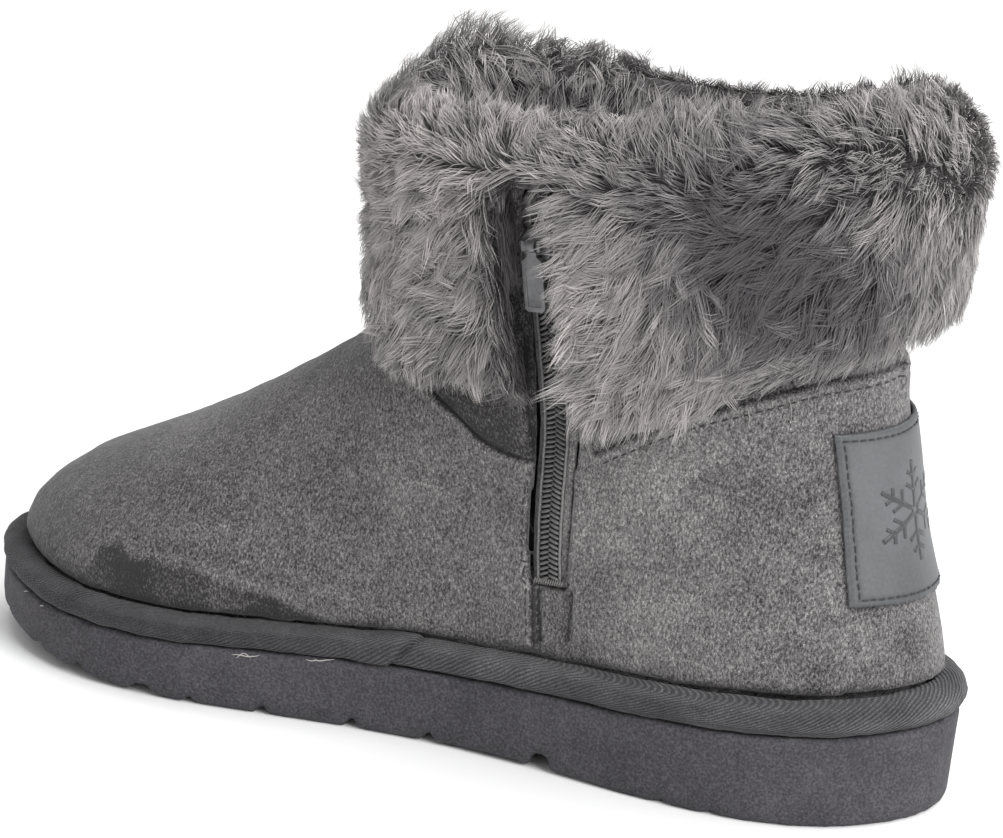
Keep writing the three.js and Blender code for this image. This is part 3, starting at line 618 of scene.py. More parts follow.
# Creases and soft dents: (centre, direction along it, length, width, depth), millimetres.
CREASES = [
    ((41.5, -68, 38.5), (0.1, 1, 0.02), 24, 3.0, -0.55),
    ((41.0, -48, 38.0), (0, 1, -0.1), 24, 2.6, -0.45),
    ((39.8, -84, 39.5), (0.2, 0.7, -0.6), 9, 2.6, -0.5),
    ((41.0, -62, 44.0), (0.1, 1, 0.02), 30, 4.5, 0.45),
    ((30.0, -22, 78.0), (-0.2, 0.5, -0.8), 22, 5.5, -0.5),
    ((34.0, -8, 66.0), (-0.2, 0.5, -0.9), 24, 6.0, 0.5),
    ((22.0, -46, 70.0), (-0.5, 0.5, -0.6), 20, 7.0, -0.4),
    ((33.0, 90, 78.0), (-0.4, 1, -0.5), 16, 5.0, -0.6),
    ((36.0, 82, 60.0), (-0.3, 1, -0.45), 20, 4.5, -0.5),
    ((38.5, 66, 50.0), (-0.1, 1, 0.25), 20, 4.5, 0.45),
    ((38.0, 58, 72.0), (-0.1, 0.7, 0.6), 22, 5.5, 0.4),
    ((36.5, 48, 60.0), (0, 0.1, 1), 26, 3.5, -0.35),
    ((-20.0, -46, 72.0), (0.5, 0.5, -0.6), 20, 7.0, -0.4),
    ((-29.0, -14, 74.0), (0.2, 0.5, -0.8), 24, 5.5, -0.5),
    ((-30.0, 60, 66.0), (0, 1, 0.3), 24, 5.5, -0.45),
    ((-27.0, 88, 70.0), (0.4, 1, -0.4), 18, 5.0, -0.5),
]
for centre, way, length, width, depth in CREASES:
    offset = (points - np.array(centre) * MM) / MM
    way = np.array(way) / np.linalg.norm(way)
    along = offset @ way
    across = np.linalg.norm(offset - along[:, None] * way, axis=1)
    bell = np.exp(-(along / length * 1.6) ** 2 - (across / width) ** 2)
    rise += depth * bell
    # Painted shade in each dent and painted light along each raised fold.
    shade += -0.12 * depth * bell

rise += 0.35 * wave(points, 26, 3) + 0.13 * wave(points, 8, 5) + 0.06 * wave(points, 3.2, 9)

# Painted shade and dirt along the feather line, and a damp stain with its tide line higher up over
# the toe on the zip side.
strip_tree = tree_of(frame["nodes"]["binding_strip"])
strip_top = np.array([strip_tree.find_nearest(p)[3] for p in points]) / MM
ragged = wave(points, 7, 12)
# Painted shade and dirt along the join with the strip.
shade += 0.32 * (1 - smoothstep(0.6, 3.2, strip_top + ragged * 0.7))
x, y, z = points.T / MM
zip_side = x > 8
DAMP_Y = [-96, -90, -86, -81, -77, -60, -50, -40, -28, -24]
DAMP_HEIGHT = [0, 6, 13, 15, 12.5, 12.0, 9.5, 7.0, 3.5, 0]
damp_top = np.interp(y, DAMP_Y, DAMP_HEIGHT)
damp = (1 - smoothstep(-1.2, 1.0, strip_top - damp_top + 0.9 * ragged)) * zip_side
tide_line = np.exp(-((strip_top - damp_top - 2.2) / 1.6) ** 2) * zip_side * (damp_top > 4)
# Painted shade over the toe end.
shade += 0.13 * smoothstep(64, 112, -y)
shade += 0.38 * damp * (0.75 + 0.5 * wave(points, 12, 21))
shade -= 0.10 * tide_line

# Cloudiness, rubbed places at the heel, darker just behind the vamp's side seams low down, and
# painted shade over the vamp and towards the back.
shade += 0.05 * wave(points, 17, 31)
rubbed = np.clip(wave(points, 9, 44), 0, 1) * smoothstep(60, 80, y) * (1 - smoothstep(80, 100, z))
shade += 0.13 * rubbed
shade += 0.10 * (1 - smoothstep(36, 56, y)) * smoothstep(30, 34, y) * (z < 60)
# Painted shade over the vamp and towards the back.
shade += (0.06 * (1 - smoothstep(24, 34, y)) + 0.13 * np.clip((20 - y) / 80, 0, 1)
          + 0.10 * smoothstep(70, 115, y))
# Painted shade on the panel above the vamp's edge, under the fur.
under_vamp_edge = near_seam(points, vamp_seams[0], 40) < 0
shade += (0.36 * smoothstep(76, 84, z) * np.exp(-((y - 18) / 20) ** 2) * (x > 16)
          * under_vamp_edge)

move_points(suede, points + normals * (rise * outside * MM)[:, None])
paint_points(suede, "shade", shade)
dress(suede, "boot", "suede", SUEDE, "upper")
suede.data.materials.append(LINING)
for face in suede.data.polygons:
    if not any(outside[i] for i in face.vertices):
        face.material_index = 1
wall_tree = tree_of(suede)

# ---------------------------------------------------------------- sole and binding strip
sole = copy_of("outsole", "foam_sole")
remesh(sole, 1.3, 2)
dress(sole, "boot", "sole_foam", FOAM, "outsole")

strip = copy_of("binding_strip", "twill_strip")
remesh(strip, 0.9, 4)
points = points_of(strip)
middle = (points.min(0) + points.max(0)) / 2
turn = np.arctan2(points[:, 1] - middle[1], points[:, 0] - middle[0])
reach = np.hypot(points[:, 0] - middle[0], points[:, 1] - middle[1])
STRIP_SECTORS = 240     # the strip is measured in this many sectors round its middle
bins = ((turn + math.pi) / (2 * math.pi) * STRIP_SECTORS).astype(int) % STRIP_SECTORS
ring_height = np.array([points[bins == b][:, 2].mean() for b in range(STRIP_SECTORS)])
far = np.array([reach[bins == b].max() for b in range(STRIP_SECTORS)])
centres = (np.arange(STRIP_SECTORS) + 0.5) / STRIP_SECTORS * 2 * math.pi - math.pi
rim = np.stack([np.cos(centres) * far, np.sin(centres) * far, ring_height], 1)
steps = np.linalg.norm(np.roll(rim, -1, axis=0) - rim, axis=1)
length_round = np.concatenate([[0], np.cumsum(steps)])


def over_ring(values, closed):
    """A value at every point from one for each sector; closed is the first one's, a turn on."""
    grid = np.concatenate([centres, [centres[0] + 2 * math.pi]])
    wrapped = np.where(turn < centres[0], turn + 2 * math.pi, turn)
    return np.interp(wrapped, grid, np.concatenate([values, [closed]]))


along = over_ring(length_round[:-1], length_round[-1])
height = points[:, 2] - over_ring(ring_height, ring_height[0])
inward = reach - over_ring(far - 4 * MM, far[0] - 4 * MM)
section = np.arctan2(height, inward) * 4.2 * MM
toe_share = np.clip((-points[:, 1] / MM + 10) / 90, 0, 1)

# The strip's two ends meet under the vamp's side seam, one lapped over the other.
on_lap = points[:, 0] > 25 * MM
lap_side = points[:, 1] / MM + 0.5 - (points[:, 2] / MM - 25) * 0.9
lapped = smoothstep(-0.5, 0.5, -lap_side) * (1 - smoothstep(3, 14, -lap_side))
lift = np.where(on_lap, 0.7 * lapped, 0)
lift += np.where(on_lap, -0.35 * np.exp(-((lap_side - 0.3) / 0.8) ** 2), 0)
lift += 0.16 * wave(points, 9, 51) + 0.08 * wave(points, 3, 52)
ribbed = 1 - 0.75 * toe_share
# Painted shade towards the toe, along the strip's lower edge and beside the lapped end, painted
# light towards the heel, and lighter worn patches.
low_edge = np.exp(-((section / MM + 3.6) / 1.1) ** 2)
worn = (0.07 * (1 - toe_share) - 0.16 * toe_share + 0.10 * np.clip(wave(points, 14, 55), 0, 1)
        - 0.25 * low_edge - np.where(on_lap, 0.35 * np.exp(-((lap_side - 0.2) / 0.7) ** 2), 0))
move_points(strip, points + normals_of(strip) * (lift * MM)[:, None])
paint_points(strip, "worn", worn)
paint_points(strip, "ribbed", ribbed)
cloth = strip.data.uv_layers.new(name=CLOTH_MAP)
corner = np.empty(len(strip.data.loops), np.int32)
strip.data.loops.foreach_get("vertex_index", corner)
u, v = along[corner], section[corner]
for face in strip.data.polygons:        # the face across the map's join stays in one piece
    at = slice(face.loop_start, face.loop_start + face.loop_total)
    if u[at].max() - u[at].min() > 0.2:
        u[at] = np.where(u[at] < 0.2, u[at] + length_round[-1], u[at])
    if v[at].max() - v[at].min() > 0.012:
        v[at] = np.abs(v[at])
cloth.data.foreach_set("uv", np.stack([u, v], 1).astype(np.float32).ravel())
dress(strip, "boot", "twill_binding", TWILL, "binding_strip")

insole = copy_of("insole", "pile_insole")
remesh(insole, 2.2, 6)
points = points_of(insole)
move_points(insole, points + normals_of(insole) * (0.5 * wave(points, 9, 61) * MM)[:, None])
dress(insole, "boot", "insole_felt", LINING, "insole")

# ---------------------------------------------------------------- the zip
zip_tree = tree_of(frame["nodes"]["zip"])
zip_low, zip_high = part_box("zip")
RAYS = 260              # sent at the zip side by side, to find its two edges at a height


def zip_section(height):
    """Where the zip runs at a height: its middle on the tape, and the way across it."""
    found = []
    for i in range(RAYS):
        at = zip_low.y - MM + i * (zip_high.y - zip_low.y + 2 * MM) / RAYS
        hit = zip_tree.ray_cast(Vector((0.2, at, height)), Vector((-1, 0, 0)), 0.18)[0]
        if hit:
            found.append(hit)
    first, last = found[1], found[-2]
    return (first + last) / 2, (last - first).normalized()


levels = [zip_low.z + 0.8 * MM + (zip_high.z - zip_low.z - 1.6 * MM) * i / 30
          for i in range(31)]
sections = [zip_section(h) for h in levels]
zip_route = np.array([list(s[0]) for s in sections])
zip_across = np.array([list(s[1]) for s in sections])
for _ in range(3):
    zip_route[1:-1] = (zip_route[:-2] + zip_route[1:-1] * 2 + zip_route[2:]) / 4
    zip_across[1:-1] = (zip_across[:-2] + zip_across[1:-1] * 2 + zip_across[2:]) / 4
zip_along = unit(np.gradient(zip_route, axis=0))
zip_length = np.concatenate([[0], np.cumsum(np.linalg.norm(np.diff(zip_route, axis=0), axis=1))])


def zip_place(distance):
    """Middle of the tape's face and the ways across, along and outwards, a distance up the zip."""
    middle, across, up = (
        Vector([np.interp(distance, zip_length, values[:, k]) for k in range(3)])
        for values in (zip_route, zip_across, zip_along))
    up = up.normalized()
    across = (across - up * across.dot(up)).normalized()
    return middle, across, up, across.cross(up)


def band(name, profile, start, end, count, waviness=0.0):
    """A closed strip along the zip; profile is (across, out) in millimetres, seen from below."""
    points, faces = [], []
    n = len(profile)
    for i in range(count):
        middle, across, up, out = zip_place(start + (end - start) * i / (count - 1))
        sway = waviness * math.sin(i * 0.9) * MM
        points += [middle + across * (a * MM + sway) + out * (o * MM) for a, o in profile]
    for i in range(count - 1):
        for k in range(n):
            a, b = i * n + k, i * n + (k + 1) % n
            faces.append((a, b, b + n, a + n))
    faces += [tuple(reversed(range(n))), tuple(range((count - 1) * n, count * n))]
    return mesh_piece(name, points, faces)


total = zip_length[-1]
TAPE_ROWS = 90
TAPE_PROFILE = [(-5.1, -1.6), (-0.5, -1.3), (0, -1.4), (0.5, -1.3), (5.1, -0.9), (5.1, 0.05),
                (3.4, 0.15), (2.9, 0.0), (0.5, -0.2), (0, -0.6), (-0.5, -0.2), (-3.0, -0.2),
                (-5.1, -1.1)]
tape = band("zip_tapes", TAPE_PROFILE, 0, total, TAPE_ROWS, 0.05)
# The tape's front part, down in the gap beside the facing, is painted darker as shade.
tape_shade = [0.38 if a < 3.2 else -0.04 for a, _ in TAPE_PROFILE]
paint_points(tape, "shade", np.tile(tape_shade, TAPE_ROWS))
dress(tape, "boot", "zip_nylon", SUEDE, "zip")

# The coil: one solid tooth, copied in turn on its two sides.
tooth_shape = bead(8, 6, 1.72, 0.50, 0.66)
PITCH = 1.32 * MM       # from tooth to tooth on one side
places = []
for i in range(int((total - 3 * MM) / PITCH)):
    for side in (-1, 1):
        at = 1.6 * MM + (i + (0.5 if side > 0 else 0)) * PITCH
        middle, across, up, out = zip_place(at)
        lean = across * (side * 0.93) - up * 0.36
        lean.normalize()
        places.append((middle + across * (side * 1.25 * MM) + out * (0.65 * MM), lean, up, out))
dress(repeat("zip_coil", tooth_shape, places), "boot", "zip_nylon", COIL)
cords = []
for at in (-2.95, 2.95):
    outline = [(at - 0.3, 0.2), (at + 0.3, 0.2), (at + 0.3, 0.75), (at - 0.3, 0.75)]
    cords.append(band("edge_cord", outline, 1.2 * MM, total - MM, 80, 0.06))
dress(join("zip_edge_cords", cords), "boot", "zip_nylon", CORD)

# Stitches: one modelled, then copied along the seams.
stitch_shape = bead(6, 5, 1.0, 0.24, 0.20)


def stitches_along(route, spacing, lift, tree):
    """Places for stitches along a route, laid on a surface."""
    found, travelled, due = [], 0.0, spacing / 2 * MM
    for a, b in zip(route, route[1:]):
        length = (b - a).length
        while travelled + length > due and length > 0:
            p = a + (b - a) * ((due - travelled) / length)
            q, n, _, _ = tree.find_nearest(p)
            along = (b - a - n * (b - a).dot(n)).normalized()
            found.append((q + n * lift * MM, along, n.cross(along), n))
            due += spacing * MM
        travelled += length
    return found


def beside(seam, distance):
    return [Vector(p) for p in seam["points"] + seam["across"] * distance * MM]


places = []
for seam_pair, distance in ((quarter_seams, 2.4), (side_seams, 1.2)):
    for seam in seam_pair:
        places += stitches_along(beside(seam, distance), 2.7, 0.12, wall_tree)
dress(repeat("seam_stitches", stitch_shape, places), "boot", "suede", THREAD)

# Bar tack across the bottom of the coil.
places = []
middle, across, up, out = zip_place(0.9 * MM)
for i in range(-6, 7):
    places.append((middle + across * (i * 0.62 * MM) + out * 1.0 * MM,
                   (up * 0.8 + across * 0.25).normalized(), across, out))
dress(repeat("bar_tack", stitch_shape, places), "boot", "zip_nylon", TACK)

for node, name, body, bevel in (("zip_slider", "slider_body", "boot", 0.35),
                                ("zip_pull", "pull_tab", "pull", 0.25)):
    piece = copy_of(node, name)
    modify(piece, "BEVEL", width=bevel * MM, segments=2, limit_method="ANGLE")
    dress(piece, body, "zip_metal", METAL, node)
    pick(piece)
    bpy.ops.object.shade_smooth_by_angle(angle=math.radians(35))

# ---------------------------------------------------------------- the heel patch
patch = copy_of("heel_patch", "leather_patch")
remesh(patch, 0.7, 3)
patch_tree = tree_of(patch)
patch_low, patch_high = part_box("heel_patch")
HEEL = Vector((MIDDLE_X * MM, 80 * MM, 0))      # middle of the heel's curve
HEEL_RADIUS = 34.0      # of the patch's face round it, in millimetres


def on_patch(degrees, height):
    """Where the patch's face is, looking at the heel from a direction at a height."""
    a = math.radians(degrees)
    way = Vector((math.sin(a), math.cos(a), 0))
    start = HEEL + way * 0.1 + Vector((0, 0, height))
    return patch_tree.ray_cast(start, -way, 0.09)[:2]


def patch_edge(height, side):
    """The last direction in which the patch is still hit at a height."""
    last = 0
    for i in range(1, 400):
        if on_patch(side * i * 0.2, height)[0] is None:
            break
        last = side * i * 0.2
    return last


rows = [patch_low.z + (patch_high.z - patch_low.z) * t / 40 for t in range(2, 39)]
edges = {side: [patch_edge(h, side) for h in rows] for side in (-1, 1)}


def patch_point(across, up):
    """A point of the patch by millimetres across from the back seam and a height in metres."""
    return on_patch(math.degrees(across / HEEL_RADIUS), up)


def border(inset):
    """A closed route round the patch, inset millimetres from its edge."""
    turn_per_mm = math.degrees(1 / HEEL_RADIUS)
    low, high = patch_low.z + inset * MM, patch_high.z - inset * MM
    heights = [low + (high - low) * i / 30 for i in range(31)]
    right = [np.interp(h, rows, edges[1]) - inset * turn_per_mm for h in heights]
    left = [np.interp(h, rows, edges[-1]) + inset * turn_per_mm for h in heights]
    places = [*zip(right, heights)]
    places += [(right[-1] + (left[-1] - right[-1]) * i / 40, high) for i in range(1, 40)]
    places += [*zip(reversed(left), reversed(heights))]
    places += [(left[0] + (right[0] - left[0]) * i / 40, low) for i in range(1, 41)]
    route = [on_patch(degrees, height)[0] for degrees, height in places]
    return [p for p in route if p]


# Pressed in along its edge and its stitch row, and darker there and low down at the back.
stitch_row = border(2.2)
pressed_rows = place_tree(border(0.7) + stitch_row)
points, normals = points_of(patch), normals_of(patch)
gap = np.array([pressed_rows.find(p)[2] / MM for p in points])
press = np.exp(-(gap / 0.6) ** 2)
move_points(patch, points - normals * (0.22 * press * MM)[:, None])
low_back = smoothstep(84, 112, points[:, 1] / MM) * (1 - smoothstep(56, 76, points[:, 2] / MM))
paint_points(patch, "edge", 0.30 * press + 0.07 * low_back)
dress(patch, "boot", "patch_leather", LEATHER, "heel_patch")
patch_tree = tree_of(patch)
places = stitches_along(stitch_row, 2.25, 0.1, patch_tree)
dress(repeat("patch_stitches", stitch_shape, places), "boot", "patch_leather", THREAD)

# A plain six-armed snow crystal pressed into the patch.
bars = []
MARK_Z = (patch_low.z + patch_high.z) / 2
MARK_ACROSS = 3.5       # millimetres that the mark sits towards the zip side
MARK_PROUD, MARK_DEEP = 0.11 * MM, 0.25 * MM


def mark_bar(start, end, width):
    """A flat dark bar between two points of the patch's face, in millimetres across and up,
    left out where it would run off the patch."""
    start, end = Vector((*start, 0)), Vector((*end, 0))
    way = (end - start).normalized()
    side = Vector((-way.y, way.x, 0)) * width / 2
    count = max(3, round((end - start).length / 0.9))
    points, faces = [], []
    for i in range(count + 1):
        centre = start + (end - start) * i / count
        for k in (-1, 0, 1):
            flat = centre + side * k
            spot, normal = patch_point(MARK_ACROSS + flat.x, MARK_Z + flat.y * MM)
            if spot is None:
                return
            points += [spot + normal * MARK_PROUD, spot - normal * MARK_DEEP]
    for i in range(count):
        a, b = i * 6, i * 6 + 6
        faces += [(a, a + 2, b + 2, b), (a + 2, a + 4, b + 4, b + 2),
                  (a + 1, b + 1, b + 3, a + 3), (a + 3, b + 3, b + 5, a + 5),
                  (a, b, b + 1, a + 1), (a + 4, a + 5, b + 5, b + 4)]
    last = count * 6
    faces += [(0, 1, 3, 2), (2, 3, 5, 4), (last, last + 2, last + 3, last + 1),
              (last + 2, last + 4, last + 5, last + 3)]
    bars.append(mesh_piece("mark_bar", points, faces))


for arm in range(6):
    a = math.radians(30 + 60 * arm)
    out = Vector((math.cos(a), math.sin(a)))
    mark_bar(out * 0.8, out * 12.0, 1.1)
    for spot, size in ((5.0, 3.4), (8.3, 2.5)):
        for side in (-1, 1):
            b = a + side * math.radians(58)
            mark_bar(out * spot, out * spot + Vector((math.cos(b), math.sin(b))) * size, 0.9)
mark = join("snow_crystal", bars)
pick(mark)
bpy.ops.object.mode_set(mode="EDIT")
bpy.ops.mesh.select_all(action="SELECT")
bpy.ops.mesh.normals_make_consistent(inside=False)
bpy.ops.object.mode_set(mode="OBJECT")
dress(mark, "boot", "patch_leather", FOIL)

# ---------------------------------------------------------------- the fur cuff
pelt = copy_of("fur_cuff", "fur_ground")
remesh(pelt, 2.2, 4)
shell_tree = tree_of(pelt)
points, normals = points_of(pelt), normals_of(pelt)
inset = np.empty(len(points))
for i, (p, n) in enumerate(zip(points, normals)):
    hit = shell_tree.ray_cast(Vector(p) - Vector(n) * 0.3 * MM, -Vector(n), 0.05)
    inset[i] = min(4.6, 0.36 * (hit[3] / MM if hit[0] else 3))
move_points(pelt, points - normals * (inset * MM)[:, None])
modify(pelt, "SMOOTH", factor=0.5, iterations=4)
dress(pelt, "boot", "fur", PELT, "fur_cuff")
upper_tree = tree_of(frame["nodes"]["upper"])

# The heights of the cuff's crest and hem, in sectors round the shaft.
CUFF_SECTORS = 72
around = np.arctan2(points[:, 0] - SHAFT_AXIS.x, points[:, 1] - SHAFT_AXIS.y)
sector_of = ((around + math.pi) / (2 * math.pi) * CUFF_SECTORS).astype(int) % CUFF_SECTORS
SECTOR_TURNS = (np.arange(CUFF_SECTORS) + 0.5) / CUFF_SECTORS * 2 * math.pi - math.pi
crest = np.array([points[sector_of == s][:, 2].max() for s in range(CUFF_SECTORS)])
crest = (np.roll(crest, 1) + crest * 2 + np.roll(crest, -1)) / 4
hem = np.array([points[sector_of == s][:, 2].min() for s in range(CUFF_SECTORS)])

# Where the fur stands higher or lower along its crest: (centre, radius, change), millimetres.
CREST_CHANGES = [((-26, 12, 164), 15, 5.5), ((-34, 56, 162), 18, -3.0), ((24, 106, 163), 20, 5.0),
                 ((-20, 96, 163), 18, 4.5), ((48, 40, 166), 22, -1.5)]
FRONT_PEAK = (-13, -15, 170)    # the collar stands highest at the front, away from the zip

# Broad lighter and darker places in the fur, partly its own uneven colour and partly painted light
# and shade: (centre, radius, tone), millimetres.
CUFF_TONES = [
    ((47, 86, 141), 19, -0.48), ((44, 98, 138), 19, -0.46), ((32, 114, 132), 18, -0.32),
    ((17, 124, 152), 22, 0.09), ((-12, -14, 166), 14, 0.10), ((47, 9, 155), 26, 0.13),
    ((50, 48, 166), 26, -0.04), ((44, 84, 168), 24, -0.06),
    ((50, 52, 132), 22, 0.16), ((40, -8, 140), 26, 0.10), ((45, 24, 128), 10, -0.12),
    ((35, -6, 108), 14, 0.07),
]
# The lining's pile is painted darker deep inside the shaft, as shade.
LINING_TONES = [((4, 45, 60), 60, -0.10)]

# Fur is kept out of a box round the pull's hinge: across, up and outwards, millimetres from it.
CLEAR_ACROSS, CLEAR_UP, CLEAR_OUT = (-4.2, 5.4), (-19.5, 3), -7
hinge = Vector(frame["joints"][0]["pos_m"])
pull_axis = Vector(frame["joints"][0]["axis"]).normalized()
pull_across = pull_axis * (-1 if pull_axis.y < 0 else 1)
rng = np.random.default_rng(SEED)
STRAND_POINTS = 7
DOWN, UP = np.array([0, 0, -1.0]), np.array([0, 0, 1.0])


def ground_of(piece, inset):
    """What fur grows on: points, normals, triangles, and how far in millimetres the ground lies
    under the form that the fur fills."""
    piece.data.calc_loop_triangles()
    corners = np.empty(len(piece.data.loop_triangles) * 3, np.int32)
    piece.data.loop_triangles.foreach_get("vertices", corners)
    points = points_of(piece)
    return points, normals_of(piece), corners.reshape(-1, 3), np.full(len(points), inset)


def scattered(ground, count, wanted):
    """Roots of up to count strands, evenly over the ground where wanted, with the ground's
    normal and inset at each."""
    points, normals, corners, inset = ground
    tri = points[corners]
    area = np.linalg.norm(np.cross(tri[:, 1] - tri[:, 0], tri[:, 2] - tri[:, 0]), axis=1)
    chosen = rng.choice(len(tri), count * 2, p=area / area.sum())
    r1, r2 = np.sqrt(rng.random(count * 2)), rng.random(count * 2)
    weight = np.stack([1 - r1, r1 * (1 - r2), r1 * r2], 1)[:, :, None]
    root = (tri[chosen] * weight).sum(1)
    n = unit((normals[corners[chosen]] * weight).sum(1))
    deep = (inset[corners[chosen]] * weight[:, :, 0]).sum(1)
    keep = wanted(root, n)
    return root[keep][:count], n[keep][:count], deep[keep][:count]


def ribbons(name, path, n, width):
    """Flat strands along paths of four points: two quads and a triangle each."""
    count = len(path)
    along = unit(np.gradient(path, axis=1))
    flat = unit(np.cross(along, n[:, None, :]) + rng.normal(0, 0.45, (count, 1, 3)))
    wide = (np.array([0.8, 1.0, 0.72, 0.0])[None, :, None] * width * MM
            * (0.75 + 0.5 * rng.random((count, 1, 1)))) / 2
    left, right = path - flat * wide, path + flat * wide
    verts = np.concatenate([np.stack([left[:, :3], right[:, :3]], 2).reshape(count, 6, 3),
                            path[:, 3:]], 1)
    base = (np.arange(count) * STRAND_POINTS)[:, None]
    quads = np.concatenate([base + q for q in ([0, 1, 3, 2], [2, 3, 5, 4])], 0).reshape(-1, 4)
    tips = base + np.array([4, 5, 6])
    mesh = bpy.data.meshes.new(name)
    mesh.vertices.add(count * STRAND_POINTS)
    mesh.vertices.foreach_set("co", verts.astype(np.float32).ravel())
    loops = np.concatenate([quads.ravel(), tips.ravel()])
    mesh.loops.add(len(loops))
    mesh.loops.foreach_set("vertex_index", loops.astype(np.int32))
    mesh.polygons.add(len(quads) + len(tips))
    starts = np.concatenate([np.arange(len(quads)) * 4,
                             len(quads) * 4 + np.arange(len(tips)) * 3])
    mesh.polygons.foreach_set("loop_start", starts.astype(np.int32))
    mesh.update(calc_edges=True)
    mesh.validate()
    return mesh, loops


def grow(name, ground, wanted, tones, count, length, spread, tuft_size, width):
    """Fur strands on the ground: narrow tapering ribbons gathered in tufts."""
    root, n, deep = scattered(ground, count, wanted)
    count = len(root)

    # Tufts: every strand belongs to the nearest of some of the strands.
    leaders = rng.choice(count, max(1, count // tuft_size), replace=False)
    leader_tree = place_tree(root[leaders])
    tuft = np.array([leader_tree.find(p)[1] for p in root])

    outward = root - np.array(SHAFT_AXIS)
    outward[:, 2] = 0
    outward = unit(outward)
    turn = np.arctan2(root[:, 0] - SHAFT_AXIS.x, root[:, 1] - SHAFT_AXIS.y)
    below = (np.interp(turn, SECTOR_TURNS, crest, period=2 * math.pi) - root[:, 2]) / MM
    above_hem = (root[:, 2] - np.interp(turn, SECTOR_TURNS, hem, period=2 * math.pi)) / MM
    facing = (n * outward).sum(1)
    sideways = unit(np.cross(UP, outward))      # towards the heel on the zip side

    # Combing: down and forwards on the outside, standing up near the crest, down inside, and
    # backwards beside the zip. The turn of the comb is measured from straight down.
    swirl = wave(root, 26, 71) * 0.75 + wave(root, 9, 73) * 0.35
    tuft_swirl = rng.normal(0, spread, len(leaders))[tuft]
    lean = math.radians(40) + swirl + tuft_swirl + rng.normal(0, 0.10, count)
    rising = 1 - smoothstep(4, 30, below + 8 * wave(root, 18, 77))
    lean = lean * (1 - rising) + (math.pi - 0.25 + swirl * 0.8 + tuft_swirl * 0.7) * rising
    lean = np.where(facing < -0.2, swirl * 0.6 + tuft_swirl, lean)
    beside_zip = (np.exp(-(((root[:, 1] - hinge.y) / MM - 13) / 5) ** 2)
                  * (root[:, 0] > 20 * MM) * (root[:, 2] < 152 * MM))
    lean = lean * (1 - beside_zip) + (1.15 + tuft_swirl * 0.5) * beside_zip
    comb = DOWN * np.cos(lean)[:, None] - sideways * np.sin(lean)[:, None]
    comb = comb - n * (comb * n).sum(1)[:, None]
    comb = comb + sideways * 0.25 * (rng.random((count, 1)) - 0.7) + outward * 0.12 * n[:, 2:]
    comb = unit(comb - n * (comb * n).sum(1)[:, None])
    parting = np.exp(-((rising - 0.5) / 0.28) ** 2) * (facing > 0)
    comb = comb * (1 - 0.45 * parting[:, None])

    # Length in millimetres: shorter over the crest and at the hem, longer beside the zip.
    crown = smoothstep(0.45, 0.9, n[:, 2])
    long = length * (0.72 + 0.5 * rng.random(count)) * (1 - 0.25 * crown)
    long += 3.0 * beside_zip * (root[:, 2] < 116 * MM) + 1.0 * beside_zip
    long = np.where(rising > 0.4, np.minimum(long, 6.0 + 0.7 * np.maximum(below, 0)), long)
    long = long * (0.68 + 0.32 * smoothstep(0, 16, above_hem))
    peak = dome(root, FRONT_PEAK, 13)

    # How far the tips stand off the ground, and the strands' paths.
    out_by = deep - 1.0 + rng.normal(0, 0.6, count) + 1.1 * wave(root, 7, 79) + 7.0 * peak
    out_by += 1.4 * parting
    long = long + 4.0 * peak
    for centre, radius, change in CREST_CHANGES:
        out_by += change * dome(root, centre, radius) * smoothstep(-0.1, 0.3, n[:, 2])
    out_by = np.clip(out_by, 0.8, 11.0) / long / 0.56
    ts = np.array([0, 0.34, 0.68, 1.0])
    t = ts[None, :, None]
    path = (root[:, None, :] + (n[:, None, :] * (out_by[:, None, None] * (t - 0.44 * t * t))
                                + comb[:, None, :] * (0.42 * t + 0.58 * t * t)
                                + DOWN * 0.10 * t * t) * long[:, None, None] * MM)
    path[:, 1:] += rng.normal(0, 0.42 * MM, (count, 3, 3)) * t[:, 1:]
    lead = path[leaders][tuft]
    pull_in = (0.74 * ts ** 1.2)[None, :, None]
    gathered = lead + (root - lead[:, 0])[:, None, :] * (1 - 0.55 * t)
    path = path * (1 - pull_in) + gathered * pull_in

    # Kept clear of the slider and its pull.
    local = (path - np.array(hinge)) / MM
    across, over, out = local @ np.array(pull_across), local[:, :, 2], local[:, :, 0]
    free = ~((across > CLEAR_ACROSS[0]) & (across < CLEAR_ACROSS[1]) & (over > CLEAR_UP[0])
             & (over < CLEAR_UP[1]) & (out > CLEAR_OUT)).any(1)
    path, n, root, tuft, facing, below, peak = (
        values[free] for values in (path, n, root, tuft, facing, below, peak))
    mesh, loops = ribbons(name, path, n, width)

    # Each strand's own tone, with painted shade darkening it down inside the collar, and its map.
    count = len(path)
    tone = 0.475 + rng.normal(0, 0.07, count) + rng.normal(0, 0.12, len(leaders))[tuft]
    for centre, radius, change in tones:
        tone += change * dome(root, centre, radius)
    inside = (facing < 0.1) * smoothstep(3, 10, below)
    tone += 0.10 * wave(root, 14, 83) - 0.5 * (1 - peak ** 0.4) * inside
    tone = np.clip(tone, 0.02, 0.98)
    u = np.repeat(tone, STRAND_POINTS) + np.tile([-0.008, 0.008] * 3 + [0.0], count)
    v = np.tile([0.02, 0.02, 0.36, 0.36, 0.70, 0.70, 0.98], count)
    strand_map = mesh.uv_layers.new(name=STRAND_MAP)
    strand_map.data.foreach_set("uv", np.stack([u[loops], v[loops]], 1).astype(np.float32).ravel())
    piece = bpy.data.objects.new(name, mesh)
    bpy.context.scene.collection.objects.link(piece)
    return dress(piece, "boot", "fur", FUR)


def room_for(root, n):
    """False where the ground looks straight at the shaft that it is folded over."""
    return np.array([upper_tree.ray_cast(Vector(p), Vector(q), 11 * MM)[0] is None
                     for p, q in zip(root, n)])


